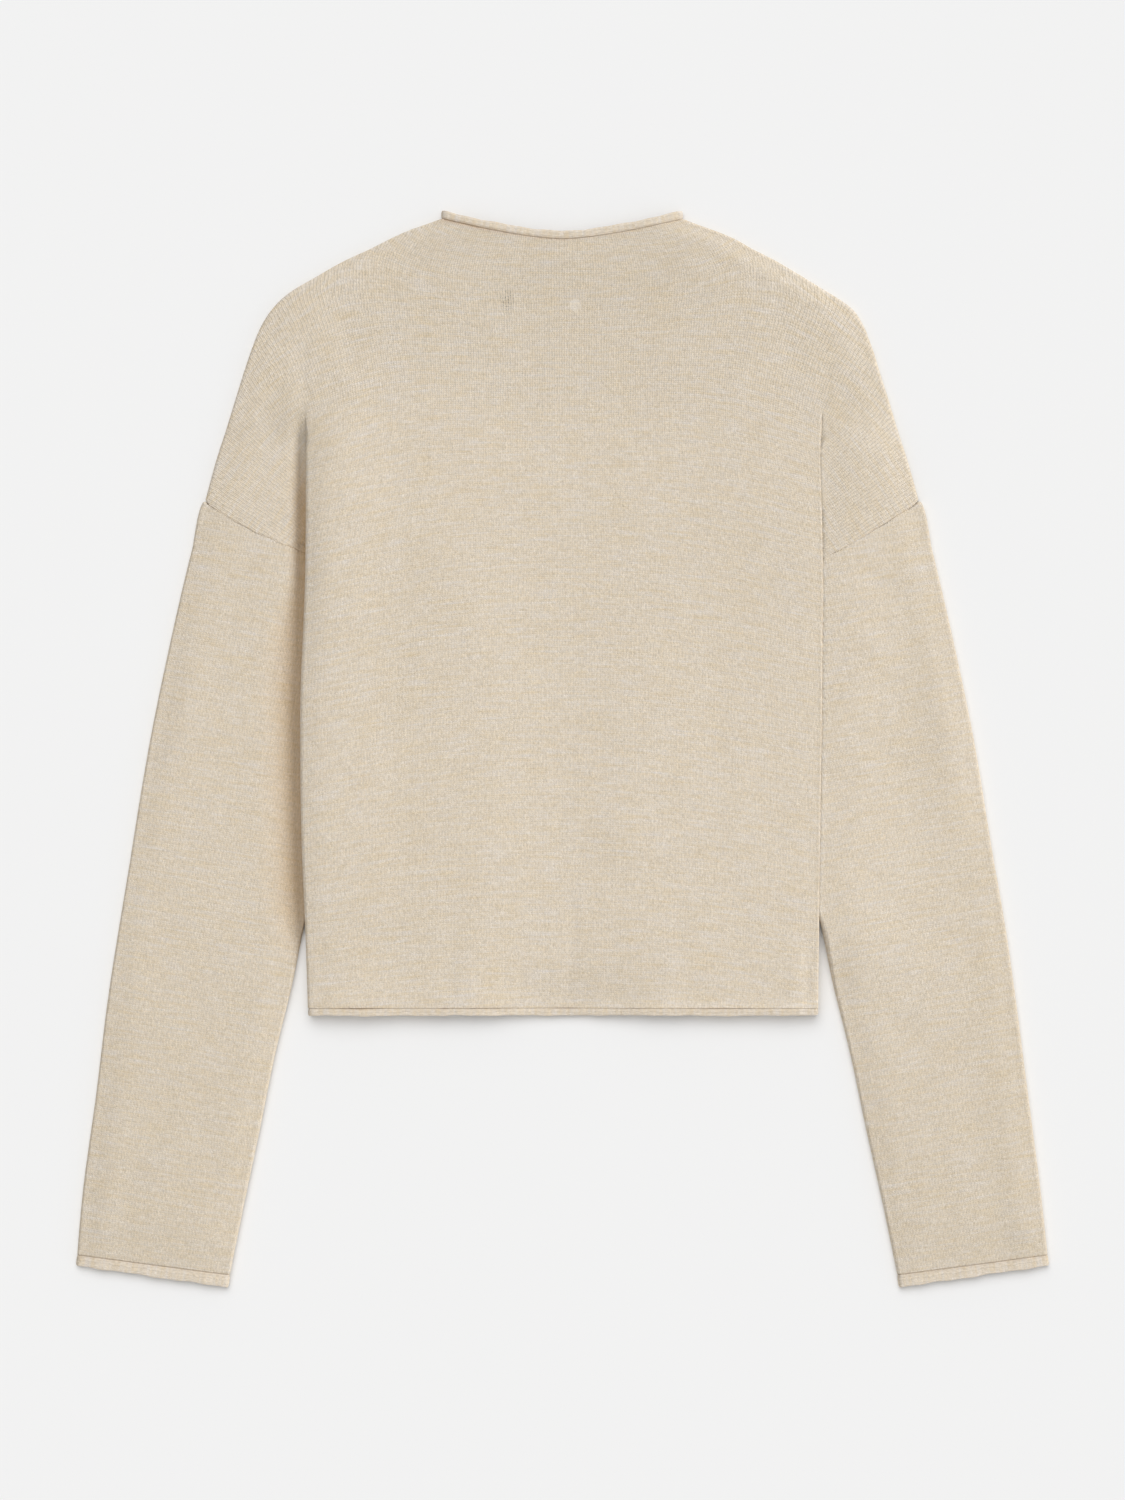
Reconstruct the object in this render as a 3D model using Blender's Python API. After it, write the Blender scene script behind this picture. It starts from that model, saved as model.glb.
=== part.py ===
"""Funnel neck cardigan in fine plain knit, laid flat on its fronts.

Units in the tables are millimetres; meshes are built in metres.
X runs across the garment, +Y from hem to neck, +Z up from the surface it
lies on.  The fronts lie on z = 0, the sleeves are folded down beside the
body, and the body sides are tucked under in a deep Z-shaped pleat with the
upper sleeve between its layers.
"""
import math

import bmesh
import bpy

# ---------------------------------------------------------------- sizes, mm
MM = 0.001
WALL = 1.5            # thickness of the knitted cloth
HALF = WALL / 2
BEAD = 2.4            # thickness of the rolled edges
PITCH = 2.0           # from one pleat layer to the next, middle to middle
MIDDLE = 5.75         # height of the plane that halves the pleat stack
BACK_LOW = 5.75       # middle of the back cloth where only two layers lie
FRONT_LOW = HALF      # middle of the front cloth: its underside is z = 0
SEAM_GAP = 0.4        # space left between two linked pieces
CENTRE_GAP = 0.5      # each front stops this far from the centre line
FLOP = 24.0           # sleeve cloth drops to the surface over this distance
RISE, RISE_CLEAR = 56.0, 8.0  # the back climbs onto the pleat over RISE and
                              # is up RISE_CLEAR before the pleat's inner turn
EDGE_TURN = 2.5       # radius of the shoulder edge
CLOTH_COLOUR = (0.676, 0.588, 0.470)
EDGE_COLOUR = (0.660, 0.570, 0.450)

# Body sections, hem to neck.  y: height where the section meets the side;
# out: half width at the outline or armhole seam; fold: half width of the
# body at its folded side; turn: how far the pleat is turned (1 = flat Z);
# depth: how far the pleat reaches inward; pitch: layer spacing; dip: how far
# the section sags below y at the centre, back and front; end: what the
# section ends in (side seam, armhole seam, or the shoulder edge).
BODY_COLUMNS = ("y", "out_l", "out_r", "fold_l", "fold_r", "turn", "depth",
                "pitch", "dip_b", "dip_f", "end")
BODY_ROWS = (
    (-168.0, 0, 0, 165.4, 166.1, 1.0, 90.0, 3.3, 0, 0, "side"),
    (-148.0, 0, 0, 166.0, 166.3, 1.0, 90.0, 2.6, 0, 0, "side"),
    (-116.0, 0, 0, 167.1, 166.7, 1.0, 90.0, 2.0, 0, 0, "side"),
    (-10.0, 0, 0, 170.6, 168.2, 1.0, 90.0, 2.0, 0, 0, "side"),
    (82.0, 0, 0, 168.4, 169.1, 1.0, 90.0, 2.0, 0, 0, "side"),
    (87.0, 0, 0, 168.2, 169.2, 1.0, 89.0, 2.0, 0, 0, "seam"),
    (108.0, 0, 0, 167.5, 169.3, 1.0, 75.0, 2.0, 0, 0, "seam"),
    (127.0, 0, 0, 167.2, 169.1, 1.0, 61.0, 2.0, 0, 0, "seam"),
    (136.0, 0, 0, 167.0, 169.0, 1.0, 54.0, 2.0, 0, 0, "seam"),
    (145.0, 0, 0, 166.9, 168.8, 1.0, 47.0, 2.0, 0, 0, "seam"),
    (161.5, 231.6, 231.1, 166.7, 168.5, 1.0, 34.0, 2.0, 0, 0, "edge"),
    (180.0, 227.4, 226.4, 166.7, 168.0, 1.0, 18.0, 2.0, 0, 0, "edge"),
    (193.0, 223.4, 222.3, 166.7, 168.0, 1.0, 7.0, 2.0, 0, 0, "edge"),
    (201.0, 220.5, 219.6, 166.7, 168.2, 0.75, 0.8, 1.5, 0, 0, "edge"),
    (208.0, 218.1, 217.4, 166.7, 168.7, 0.5, 0.8, 1.0, 0, 0, "edge"),
    (216.0, 216.0, 215.4, 167.0, 168.7, 0.25, 0.8, 0.8, 0, 0, "edge"),
    (226.0, 213.2, 212.5, 167.0, 168.7, 0.0, 0.8, 0.8, 0, 0, "edge"),
    (272.7, 197.3, 197.3, 156.0, 156.0, 0.0, 0.8, 0.8, 1.5, 3.0, "edge"),
    (285.7, 189.6, 190.1, 149.0, 149.0, 0.0, 0.8, 0.8, 3.0, 6.0, "edge"),
    (298.7, 174.8, 169.6, 136.0, 134.0, 0.0, 0.8, 0.8, 6.0, 11.0, "edge"),
    (317.0, 141.0, 137.0, 108.0, 106.0, 0.0, 0.8, 0.8, 10.5, 18.0, "edge"),
    (337.7, 97.5, 97.0, 74.0, 74.0, 0.0, 0.8, 0.8, 15.0, 24.0, "edge"),
    (344.8, 75.7, 74.4, 57.0, 56.0, 0.0, 0.8, 0.8, 13.4, 24.0, "edge"),
)

# Armhole seam: its height at each distance from the centre line.
SEAM_COLUMNS = ("u", "y_l", "y_r")
SEAM_ROWS = (
    (79.6, 85.7, 79.5),
    (125.0, 107.3, 102.0),
    (170.6, 129.0, 124.6),
    (190.0, 137.4, 135.4),
    (210.3, 147.2, 147.6),
    (231.7, 160.2, 160.6),
)

# Sleeve sections from armhole seam to cuff: where each crosses the outer and
# the inner edge of the sleeve.
SLEEVE_COLUMNS = ("outer_y", "outer_l", "outer_r", "inner_y", "inner_l",
                  "inner_r")
SLEEVE_ROWS = (
    (160.2, 231.7, 231.2, 88.0, 86.2, 91.5),
    (133.0, 240.4, 239.8, 58.0, 94.5, 94.5),
    (97.0, 249.4, 248.6, 29.0, 110.0, 110.0),
    (52.0, 259.6, 258.6, -7.0, 129.5, 129.5),
    (6.0, 268.6, 267.6, -42.5, 144.5, 144.5),
    (-42.5, 276.8, 275.9, -78.0, 157.5, 157.5),
    (-91.0, 284.2, 283.6, -115.0, 168.0, 168.0),
    (-140.0, 292.4, 291.9, -153.0, 176.4, 176.6),
    (-189.0, 299.0, 298.0, -198.5, 187.2, 187.6),
    (-237.6, 304.6, 303.8, -247.3, 197.0, 197.6),
    (-286.3, 312.0, 310.4, -296.0, 207.4, 208.6),
    (-328.6, 315.9, 315.9, -341.6, 216.4, 217.8),
)
CUFF_WIDTH = (7.4, 8.4)     # rolled cuff edge, at its outer and inner end
HEM_WIDTH = 4.8             # rolled hem edge
NECK_WIDTH = 4.6            # rolled neck edge
CUFF_TOP, CUFF_LOW = 5.75, BEAD / 2


# ------------------------------------------------------------- small helpers
def rows_of(columns, table):
    return [dict(zip(columns, values)) for values in table]


BODY = rows_of(BODY_COLUMNS, BODY_ROWS)
SLEEVE = rows_of(SLEEVE_COLUMNS, SLEEVE_ROWS)


def smooth(t):
    t = max(0.0, min(1.0, t))
    return t * t * (3 - 2 * t)


def lerp(a, b, t):
    return a + (b - a) * t


SEAM = rows_of(SEAM_COLUMNS, SEAM_ROWS)


def seam_u(y, side):
    """Distance from the centre line where the armhole seam is at height y."""
    key = "y_" + side
    for near, far in zip(SEAM, SEAM[1:]):
        if y <= far[key] or far is SEAM[-1]:
            return lerp(near["u"], far["u"],
                        (y - near[key]) / (far[key] - near[key]))


def seam_y(u, side):
    """Height of the armhole seam at distance u from the centre line."""
    key = "y_" + side
    for near, far in zip(SEAM, SEAM[1:]):
        if u <= far["u"] or far is SEAM[-1]:
            return lerp(near[key], far[key],
                        (u - near["u"]) / (far["u"] - near["u"]))


def fold_at(y, side):
    """Half width of the folded body at height y."""
    key = "fold_" + side
    if y <= BODY[0]["y"]:
        return BODY[0][key]
    for low, high in zip(BODY, BODY[1:]):
        if y <= high["y"]:
            return lerp(low[key], high[key],
                        (y - low["y"]) / (high["y"] - low["y"]))
    return BODY[-1][key]


def pocket(u, y, side):
    """1 where sleeve cloth is held inside the pleat, 0 where it lies free."""
    beyond = smooth((u - fold_at(y, side) - 3.0) / FLOP)
    below = smooth((y + 172.0) / 50.0)
    return (1 - beyond) * below


# ----------------------------------------------------- one section of a panel
def bend(points, start, stop, length, steps, up):
    """Add an arc (or a straight run) turning from one heading to another."""
    u, z = points[-1]
    for i in range(1, steps + 1):
        a = lerp(start, stop, i / steps)
        b = lerp(start, stop, (i - 1) / steps)
        if abs(stop - start) < 1e-6:
            du, dz = math.cos(a), math.sin(a)
            step = length / steps
        else:
            radius = length / abs(stop - start)
            turn = 1 if stop > start else -1
            du = radius * (math.sin(a) - math.sin(b)) * turn
            dz = radius * (math.cos(b) - math.cos(a)) * turn
            step = 1.0
        u += du * step
        z += dz * step * up
        points.append((u, z))


MAIN_STEPS, ARC_STEPS, STRIP_STEPS, EXT_STEPS, CURL_STEPS = 5, 3, 1, 4, 2


def section(row, side, face, main_level=None, pitch=None):
    """Middle line of a panel at one height, from centre to its end.

    face is "back" or "front"; the front is the back turned upside down.
    Returns (u, y, z) points with u the distance from the centre line.
    """
    up = -1 if face == "back" else 1
    y = row["y"]
    pitch = row["pitch"] if pitch is None else pitch
    theta = math.pi * row["turn"]
    fold = row["fold_" + side]
    turn_length = math.pi * pitch / 2
    start = fold - pitch / 2 - HALF
    tail = [(start, 0.0)]
    bend(tail, 0.0, theta, turn_length, ARC_STEPS, up)
    bend(tail, theta, theta, row["depth"], STRIP_STEPS, up)
    if row["end"] == "side":
        strip_drop = abs(tail[-1][1])
        top = BACK_LOW + 5.0 if face == "back" else FRONT_LOW
        if main_level is not None:
            top = main_level
        gap = abs(top + up * strip_drop - MIDDLE) - 0.15
        radius = min(1.65, gap - 0.3)
        bend(tail, theta, math.pi / 2, radius * math.pi / 2, ARC_STEPS, up)
        bend(tail, math.pi / 2, math.pi / 2, gap - radius,
             EXT_STEPS + CURL_STEPS, up)
        level = top
    else:
        bend(tail, theta, 0.0, turn_length, ARC_STEPS, up)
        drop = tail[-1][1]
        held_front = FRONT_LOW + abs(drop)
        if face == "back":
            free = BACK_LOW
            held = max(BACK_LOW, held_front + PITCH)
            level = held - drop
        else:
            level = free = FRONT_LOW
            held = held_front
        u0 = tail[-1][0]
        curl = row["end"] == "edge"
        out = row["out_" + side] if curl else seam_u(y, side)
        last = out - (EDGE_TURN + HALF if curl else 0.0)
        steps = EXT_STEPS if curl else EXT_STEPS + CURL_STEPS
        # closer points where the cloth drops out of the pleat
        knee = max(u0 + 0.3 * min(6.0, last - u0),
                   min(fold + 2.0, last - min(10.0, (last - u0) * 0.6)))
        us = [knee] + [knee + (last - knee) * (k / (steps - 1)) ** 1.25
                       for k in range(1, steps)]
        for u in us:
            away = smooth((u - fold - 3.0) / FLOP)
            tail.append((u, drop + (free - held) * away))
        if curl:
            z0 = tail[-1][1]
            reach = EDGE_TURN - 0.15
            for k in range(1, CURL_STEPS + 1):
                a = math.pi / 2 * k / CURL_STEPS
                tail.append((last + EDGE_TURN * math.sin(a),
                             z0 + up * reach * (1 - math.cos(a))))
    if main_level is not None:
        level = main_level
    first = 0.0 if face == "back" else CENTRE_GAP
    line = []
    up_by = fold - row["depth"] - RISE_CLEAR
    for k in range(MAIN_STEPS):
        t = k / MAIN_STEPS
        u = first + (start - first) * (t ** 0.9)
        low = BACK_LOW if face == "back" else level
        z = low + (level - low) * smooth((u - up_by + RISE) / RISE)
        line.append((u, z))
    line += [(u, z + level) for u, z in tail]
    end_u = max(u for u, z in line)
    dip = row["dip_b" if face == "back" else "dip_f"]
    return [(u, y - dip * (1 - (u / end_u) ** 2), z) for u, z in line]


def normals(points, up, end="seam"):
    """Unit normals of a section in its own upright plane, right side out.

    A side seam or a shoulder edge ends running straight up or down, so the
    last normals there point level.
    """
    result = []
    for i in range(len(points)):
        a = points[max(i - 1, 0)]
        b = points[i]
        c = points[min(i + 1, len(points) - 1)]
        nu = nz = 0.0
        for p, q in ((a, b), (b, c)):
            du, dz = q[0] - p[0], q[2] - p[2]
            size = math.hypot(du, dz)
            if size > 1e-9:
                nu += -dz / size * up * -1
                nz += du / size * up * -1
        size = math.hypot(nu, nz)
        result.append((nu / size, nz / size))
    level = {"seam": 0, "edge": 1, "side": EXT_STEPS + CURL_STEPS + 1}[end]
    for i in range(1, level + 1):
        result[-i] = (1.0, 0.0)
    return result


# ------------------------------------------------------------- solid builders
def solid(name, outer, inner, colour, closed=False, caps=True):
    """A wall between two grids of points with all its rims closed."""
    rows, cols = len(outer), len(outer[0])
    mesh = bpy.data.meshes.new(name)
    bm = bmesh.new()
    top = [[bm.verts.new([c * MM for c in p]) for p in r] for r in outer]
    low = [[bm.verts.new([c * MM for c in p]) for p in r] for r in inner]
    around = cols if closed else cols - 1
    for i in range(rows - 1):
        for j in range(around):
            k = (j + 1) % cols
            bm.faces.new((top[i][j], top[i][k], top[i + 1][k], top[i + 1][j]))
            bm.faces.new((low[i][j], low[i + 1][j], low[i + 1][k], low[i][k]))
    for i in (0, rows - 1):
        for j in range(around):
            k = (j + 1) % cols
            bm.faces.new((top[i][j], low[i][j], low[i][k], top[i][k]))
    if not closed:
        for j in (0, cols - 1):
            for i in range(rows - 1):
                bm.faces.new((top[i][j], top[i + 1][j], low[i + 1][j],
                              low[i][j]))
    return finish(name, mesh, bm, colour)


def finish(name, mesh, bm, colour):
    bmesh.ops.recalc_face_normals(bm, faces=bm.faces)
    bm.to_mesh(mesh)
    bm.free()
    mesh.shade_smooth()
    mesh.set_sharp_from_angle(angle=math.radians(50))
    obj = bpy.data.objects.new(name, mesh)
    bpy.context.scene.collection.objects.link(obj)
    material = bpy.data.materials.new(name + "_knit")
    material.use_nodes = True
    shader = material.node_tree.nodes["Principled BSDF"]
    shader.inputs["Base Color"].default_value = (*colour, 1.0)
    shader.inputs["Roughness"].default_value = 0.92
    shader.inputs["Metallic"].default_value = 0.0
    material.diffuse_color = (*colour, 1.0)
    mesh.materials.append(material)
    return obj


def bead(name, path, across, colour, closed=False):
    """A rolled edge: a slim stadium profile carried along a section line.

    path holds (point, normal); across gives the two offsets of the roll from
    the path along the cloth at each point, as 3-D vectors.
    """
    half = BEAD / 2
    profile = [(-1, 0), (-0.6, 1), (0.6, 1), (1, 0), (0.6, -1), (-0.6, -1)]
    bm = bmesh.new()
    rings = []
    for (point, normal), (near, far) in zip(path, across):
        centre = [p + (a + b) / 2 for p, a, b in zip(point, near, far)]
        reach = [(b - a) / 2 for a, b in zip(near, far)]
        ring = [bm.verts.new([(c + r * a + n * b * half) * MM
                              for c, r, n in zip(centre, reach, normal)])
                for a, b in profile]
        rings.append(ring)
    count = len(rings)
    for i in range(count if closed else count - 1):
        one, two = rings[i], rings[(i + 1) % count]
        for j in range(6):
            k = (j + 1) % 6
            bm.faces.new((one[j], one[k], two[k], two[j]))
    if not closed:
        bm.faces.new(rings[0])
        bm.faces.new(list(reversed(rings[-1])))
    return finish(name, bpy.data.meshes.new(name), bm, colour)


# ----------------------------------------------------------------- the panels
def place(side, u, y, z):
    return (-u if side == "l" else u, y, z)


def panel_half(side, face):
    up = -1 if face == "back" else 1
    outer, inner = [], []
    for row in BODY:
        line = section(row, side, face)
        ns = normals(line, up, row["end"])
        outer.append([place(side, u + n * HALF, y, z + m * HALF)
                      for (u, y, z), (n, m) in zip(line, ns)])
        inner.append([place(side, u - n * HALF, y, z - m * HALF)
                      for (u, y, z), (n, m) in zip(line, ns)])
    return outer, inner


def build_back():
    left_out, left_in = panel_half("l", "back")
    right_out, right_in = panel_half("r", "back")
    outer = [list(reversed(a[1:])) + b for a, b in zip(left_out, right_out)]
    inner = [list(reversed(a[1:])) + b for a, b in zip(left_in, right_in)]
    return solid("back", outer, inner, CLOTH_COLOUR)


def build_front(side, name):
    outer, inner = panel_half(side, "front")
    return solid(name, outer, inner, CLOTH_COLOUR)


# ---------------------------------------------------------------- the sleeves
def sleeve_ring(row, side, top_free=BACK_LOW, low_free=FRONT_LOW, pad=HALF,
                at_seam=False):
    """Closed middle line of the flattened sleeve at one section."""
    ox, oy = row["outer_" + side], row["outer_y"]
    ix, iy = row["inner_" + side], row["inner_y"]
    width = math.hypot(ix - ox, iy - oy)

    def at(s):
        u = lerp(ox, ix, s / width)
        if at_seam:
            return u, seam_y(u, side) - SEAM_GAP * 2.0
        return u, lerp(oy, iy, s / width)

    def levels(s):
        u, y = at(s)
        held = pocket(u, y, side)
        return (lerp(top_free, MIDDLE + PITCH / 2, held),
                lerp(low_free, MIDDLE - PITCH / 2, held))

    def end(s_tip, direction):
        t, b = levels(s_tip)
        radius = (t - b) / 2
        return s_tip + direction * (pad + radius), (t + b) / 2, radius

    s0, z0, r0 = end(0.0, 1)
    s1, z1, r1 = end(width, -1)
    # where the section passes under the folded side of the body
    cross = width
    for k in range(200):
        s = width * k / 200
        u, y = at(s)
        if u < fold_at(y, side) and y > -150:
            cross = s
            break
    knee = min(cross + 1.0, s1 - 2.0)
    begin = max(knee - FLOP, s0 + 8.0)
    stops = [s0, lerp(s0, begin, 0.5), begin, lerp(begin, knee, 0.35),
             lerp(begin, knee, 0.7), knee, s1]
    ring = []
    for s in stops:
        ring.append((s, levels(s)[0] if s not in (s0, s1) else
                     (z0 + r0 if s == s0 else z1 + r1)))
    for k in (1, 2, 3):
        a = math.pi * k / 4
        ring.append((s1 + r1 * math.sin(a), z1 + r1 * math.cos(a)))
    for s in reversed(stops):
        ring.append((s, levels(s)[1] if s not in (s0, s1) else
                     (z0 - r0 if s == s0 else z1 - r1)))
    for k in (1, 2, 3):
        a = math.pi * k / 4
        ring.append((s0 - r0 * math.sin(a), z0 - r0 * math.cos(a)))
    return at, ring


def ring_normals(ring):
    result = []
    count = len(ring)
    for i in range(count):
        nu = nz = 0.0
        for p, q in ((ring[i - 1], ring[i]),
                     (ring[i], ring[(i + 1) % count])):
            du, dz = q[0] - p[0], q[1] - p[1]
            size = math.hypot(du, dz)
            nu += -dz / size
            nz += du / size
        size = math.hypot(nu, nz)
        result.append((nu / size, nz / size))
    return result


def build_sleeve(side, name):
    outer, inner = [], []
    for i, row in enumerate(SLEEVE):
        at, ring = sleeve_ring(row, side, at_seam=(i == 0))
        for grid, sign in ((outer, HALF), (inner, -HALF)):
            line = []
            for (s, z), (n, m) in zip(ring, ring_normals(ring)):
                u, y = at(s + n * sign)
                line.append(place(side, u, y, z + m * sign))
            grid.append(line)
    return solid(name, outer, inner, CLOTH_COLOUR, closed=True)


def build_cuff(side, name):
    row = SLEEVE[-1]
    at, ring = sleeve_ring(row, side, CUFF_TOP, CUFF_LOW, pad=BEAD / 2)
    ox, oy = at(0.0)
    ix, iy = at(1.0)
    du, dy = ix - ox, iy - oy            # unit step along the section
    width = math.hypot(row["inner_" + side] - row["outer_" + side],
                       row["inner_y"] - row["outer_y"])
    path, across = [], []
    for (s, z), (n, m) in zip(ring, ring_normals(ring)):
        u, y = at(s)
        point = place(side, u, y, z)
        normal = place(side, n * du, n * dy, m)
        deep = lerp(CUFF_WIDTH[0], CUFF_WIDTH[1], s / width)
        down = place(side, dy, -du, 0.0)
        if down[1] > 0:
            down = [-c for c in down]
        path.append((point, normal))
        across.append(([c * SEAM_GAP for c in down],
                       [c * deep for c in down]))
    return bead(name, path, across, EDGE_COLOUR, closed=True)


# -------------------------------------------------------------- rolled edges
def trim_line(side, face, row, level, pitch):
    line = section(row, side, face, main_level=level, pitch=pitch)
    return line, normals(line, -1 if face == "back" else 1)


def hem_path(side, face):
    row = dict(BODY[0])
    level = BACK_LOW + 5.0 if face == "back" else BEAD / 2
    pitch = 3.45 if face == "back" else 4.2 - BEAD / 2
    row["fold_" + side] -= BEAD / 2 - HALF
    line, ns = trim_line(side, face, row, level, pitch)
    keep = MAIN_STEPS + 1 + ARC_STEPS + STRIP_STEPS
    return [(place(side, *p), place(side, n[0], 0.0, n[1]))
            for p, n in zip(line[:keep], ns[:keep])]


def build_hems():
    down = ((0, -SEAM_GAP, 0), (0, -SEAM_GAP - HEM_WIDTH, 0))
    left, right = hem_path("l", "back"), hem_path("r", "back")
    path = list(reversed(left[1:])) + right
    bead("hem_trim_back", path, [down] * len(path), EDGE_COLOUR)
    for side, name in (("l", "hem_trim_front_left"),
                       ("r", "hem_trim_front_right")):
        path = hem_path(side, "front")
        bead(name, path, [down] * len(path), EDGE_COLOUR)


def build_neck():
    """The rolled strip round the neck, open at the centre front."""
    row = BODY[-1]
    radius = (BACK_LOW - BEAD / 2) / 2

    def run(side):
        out = row["out_" + side] - BEAD / 2
        flat = out - radius
        back, front = [], []
        for k in range(6):
            u = flat * k / 5
            back.append((u, row["y"] - row["dip_b"] * (1 - (u / out) ** 2),
                         BACK_LOW, 0.0, 1.0))
            v = CENTRE_GAP + (flat - CENTRE_GAP) * k / 5
            front.append((v, row["y"] - row["dip_f"] * (1 - (v / out) ** 2),
                          BEAD / 2, 0.0, -1.0))
        turn = []
        for k in range(1, 6):
            a = math.pi * k / 6
            u = flat + radius * math.sin(a)
            dip = lerp(row["dip_b"], row["dip_f"], k / 6)
            turn.append((u, row["y"] - dip * (1 - (u / out) ** 2),
                         BACK_LOW - radius + radius * math.cos(a),
                         math.sin(a), math.cos(a)))
        return back, turn, list(reversed(front))

    path = []
    back, turn, front = run("l")
    for part in (reversed(front), reversed(turn), reversed(back[1:])):
        path += [(place("l", u, y, z), place("l", n, 0.0, m))
                 for u, y, z, n, m in part]
    back, turn, front = run("r")
    for part in (back, turn, front):
        path += [(place("r", u, y, z), place("r", n, 0.0, m))
                 for u, y, z, n, m in part]
    up = ((0, SEAM_GAP, 0), (0, SEAM_GAP + NECK_WIDTH, 0))
    bead("neck_trim", path, [up] * len(path), EDGE_COLOUR)


def main():
    for obj in list(bpy.data.objects):
        bpy.data.objects.remove(obj, do_unlink=True)
    build_back()
    build_front("l", "front_left")
    build_front("r", "front_right")
    build_sleeve("l", "sleeve_left")
    build_sleeve("r", "sleeve_right")
    build_neck()
    build_hems()
    build_cuff("l", "cuff_trim_left")
    build_cuff("r", "cuff_trim_right")


main()
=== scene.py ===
"""Looks of the funnel neck cardigan, laid flat on its fronts, back view up.

Tables are in millimetres; meshes are built in metres.  X runs across the
garment, +Y from hem to neck, +Z up from the surface it lies on.  Each piece
is a thin shell on the form of the solid it stands for.
"""
import math

import bmesh
import bpy
import numpy as np
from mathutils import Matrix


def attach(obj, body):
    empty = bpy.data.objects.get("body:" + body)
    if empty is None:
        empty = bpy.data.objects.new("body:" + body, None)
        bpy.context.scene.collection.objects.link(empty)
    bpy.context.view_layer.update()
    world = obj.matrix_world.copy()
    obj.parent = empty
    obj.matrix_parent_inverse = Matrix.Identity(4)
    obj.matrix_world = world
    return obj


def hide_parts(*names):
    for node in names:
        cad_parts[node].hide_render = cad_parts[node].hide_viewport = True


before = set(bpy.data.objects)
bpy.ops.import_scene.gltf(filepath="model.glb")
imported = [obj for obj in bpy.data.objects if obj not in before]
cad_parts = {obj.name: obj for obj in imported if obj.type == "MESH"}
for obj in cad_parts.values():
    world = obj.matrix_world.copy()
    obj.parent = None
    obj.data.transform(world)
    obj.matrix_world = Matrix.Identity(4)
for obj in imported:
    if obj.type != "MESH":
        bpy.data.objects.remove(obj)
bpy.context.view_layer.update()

# ================================================================ sizes, mm
MM = 0.001
WALL = 1.5
HALF = WALL / 2
PITCH = 1.7            # from one pleat layer to the next
MIDDLE = 5.0           # plane that halves the pleat stack
BACK_LOW = 5.75        # middle of the back cloth where two layers lie
FRONT_LOW = HALF
SEAM_GAP = 0.04
CENTRE_GAP = 0.5
FLOP = 24.0            # sleeve cloth drops out of the pleat over this
EDGE_TURN = 1.55       # radius of the shoulder edge
EDGE_FALL = {"l": 0.9, "r": 1.2}   # how much lower cloth lies at its edges
WALE, COURSE = 1.9, 1.35   # one stitch, across and along

# Outline of the garment: half widths at each height.
OUTLINE_COLUMNS = ("y", "left", "right")
OUTLINE_ROWS = (
    (-331.8, 316.0, 316.0), (-305.8, 313.9, 313.2), (-279.8, 311.2, 310.2),
    (-253.8, 307.6, 306.8), (-227.8, 303.9, 303.4), (-201.8, 300.7, 300.0),
    (-175.8, 297.6, 296.7), (-149.8, 294.0, 293.2), (-123.8, 289.9, 289.5),
    (-97.8, 285.6, 285.2), (-71.8, 281.3, 280.6), (-45.8, 277.2, 276.3),
    (-19.8, 272.9, 272.2), (6.2, 268.3, 267.7), (32.2, 263.2, 262.6),
    (58.2, 257.7, 257.1), (84.2, 252.0, 251.3), (110.2, 246.0, 245.3),
    (136.2, 239.5, 238.9), (162.2, 232.3, 231.6), (188.2, 225.2, 224.3),
    (207.7, 218.9, 218.0), (227.2, 212.9, 212.2), (246.7, 206.8, 206.0),
    (259.7, 202.4, 202.0), (266.2, 200.0, 199.5), (272.7, 197.3, 197.2),
    (279.2, 193.8, 193.8), (285.7, 189.3, 189.2), (292.2, 183.3, 180.6),
    (298.7, 174.8, 170.0), (305.2, 163.4, 159.4), (311.7, 152.3, 148.6),
    (318.2, 140.2, 137.4), (324.7, 125.9, 124.4), (332.5, 110.4, 110.4),
    (337.7, 98.6, 97.2), (341.5, 87.6, 86.4), (344.8, 78.4, 78.0),
)

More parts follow.
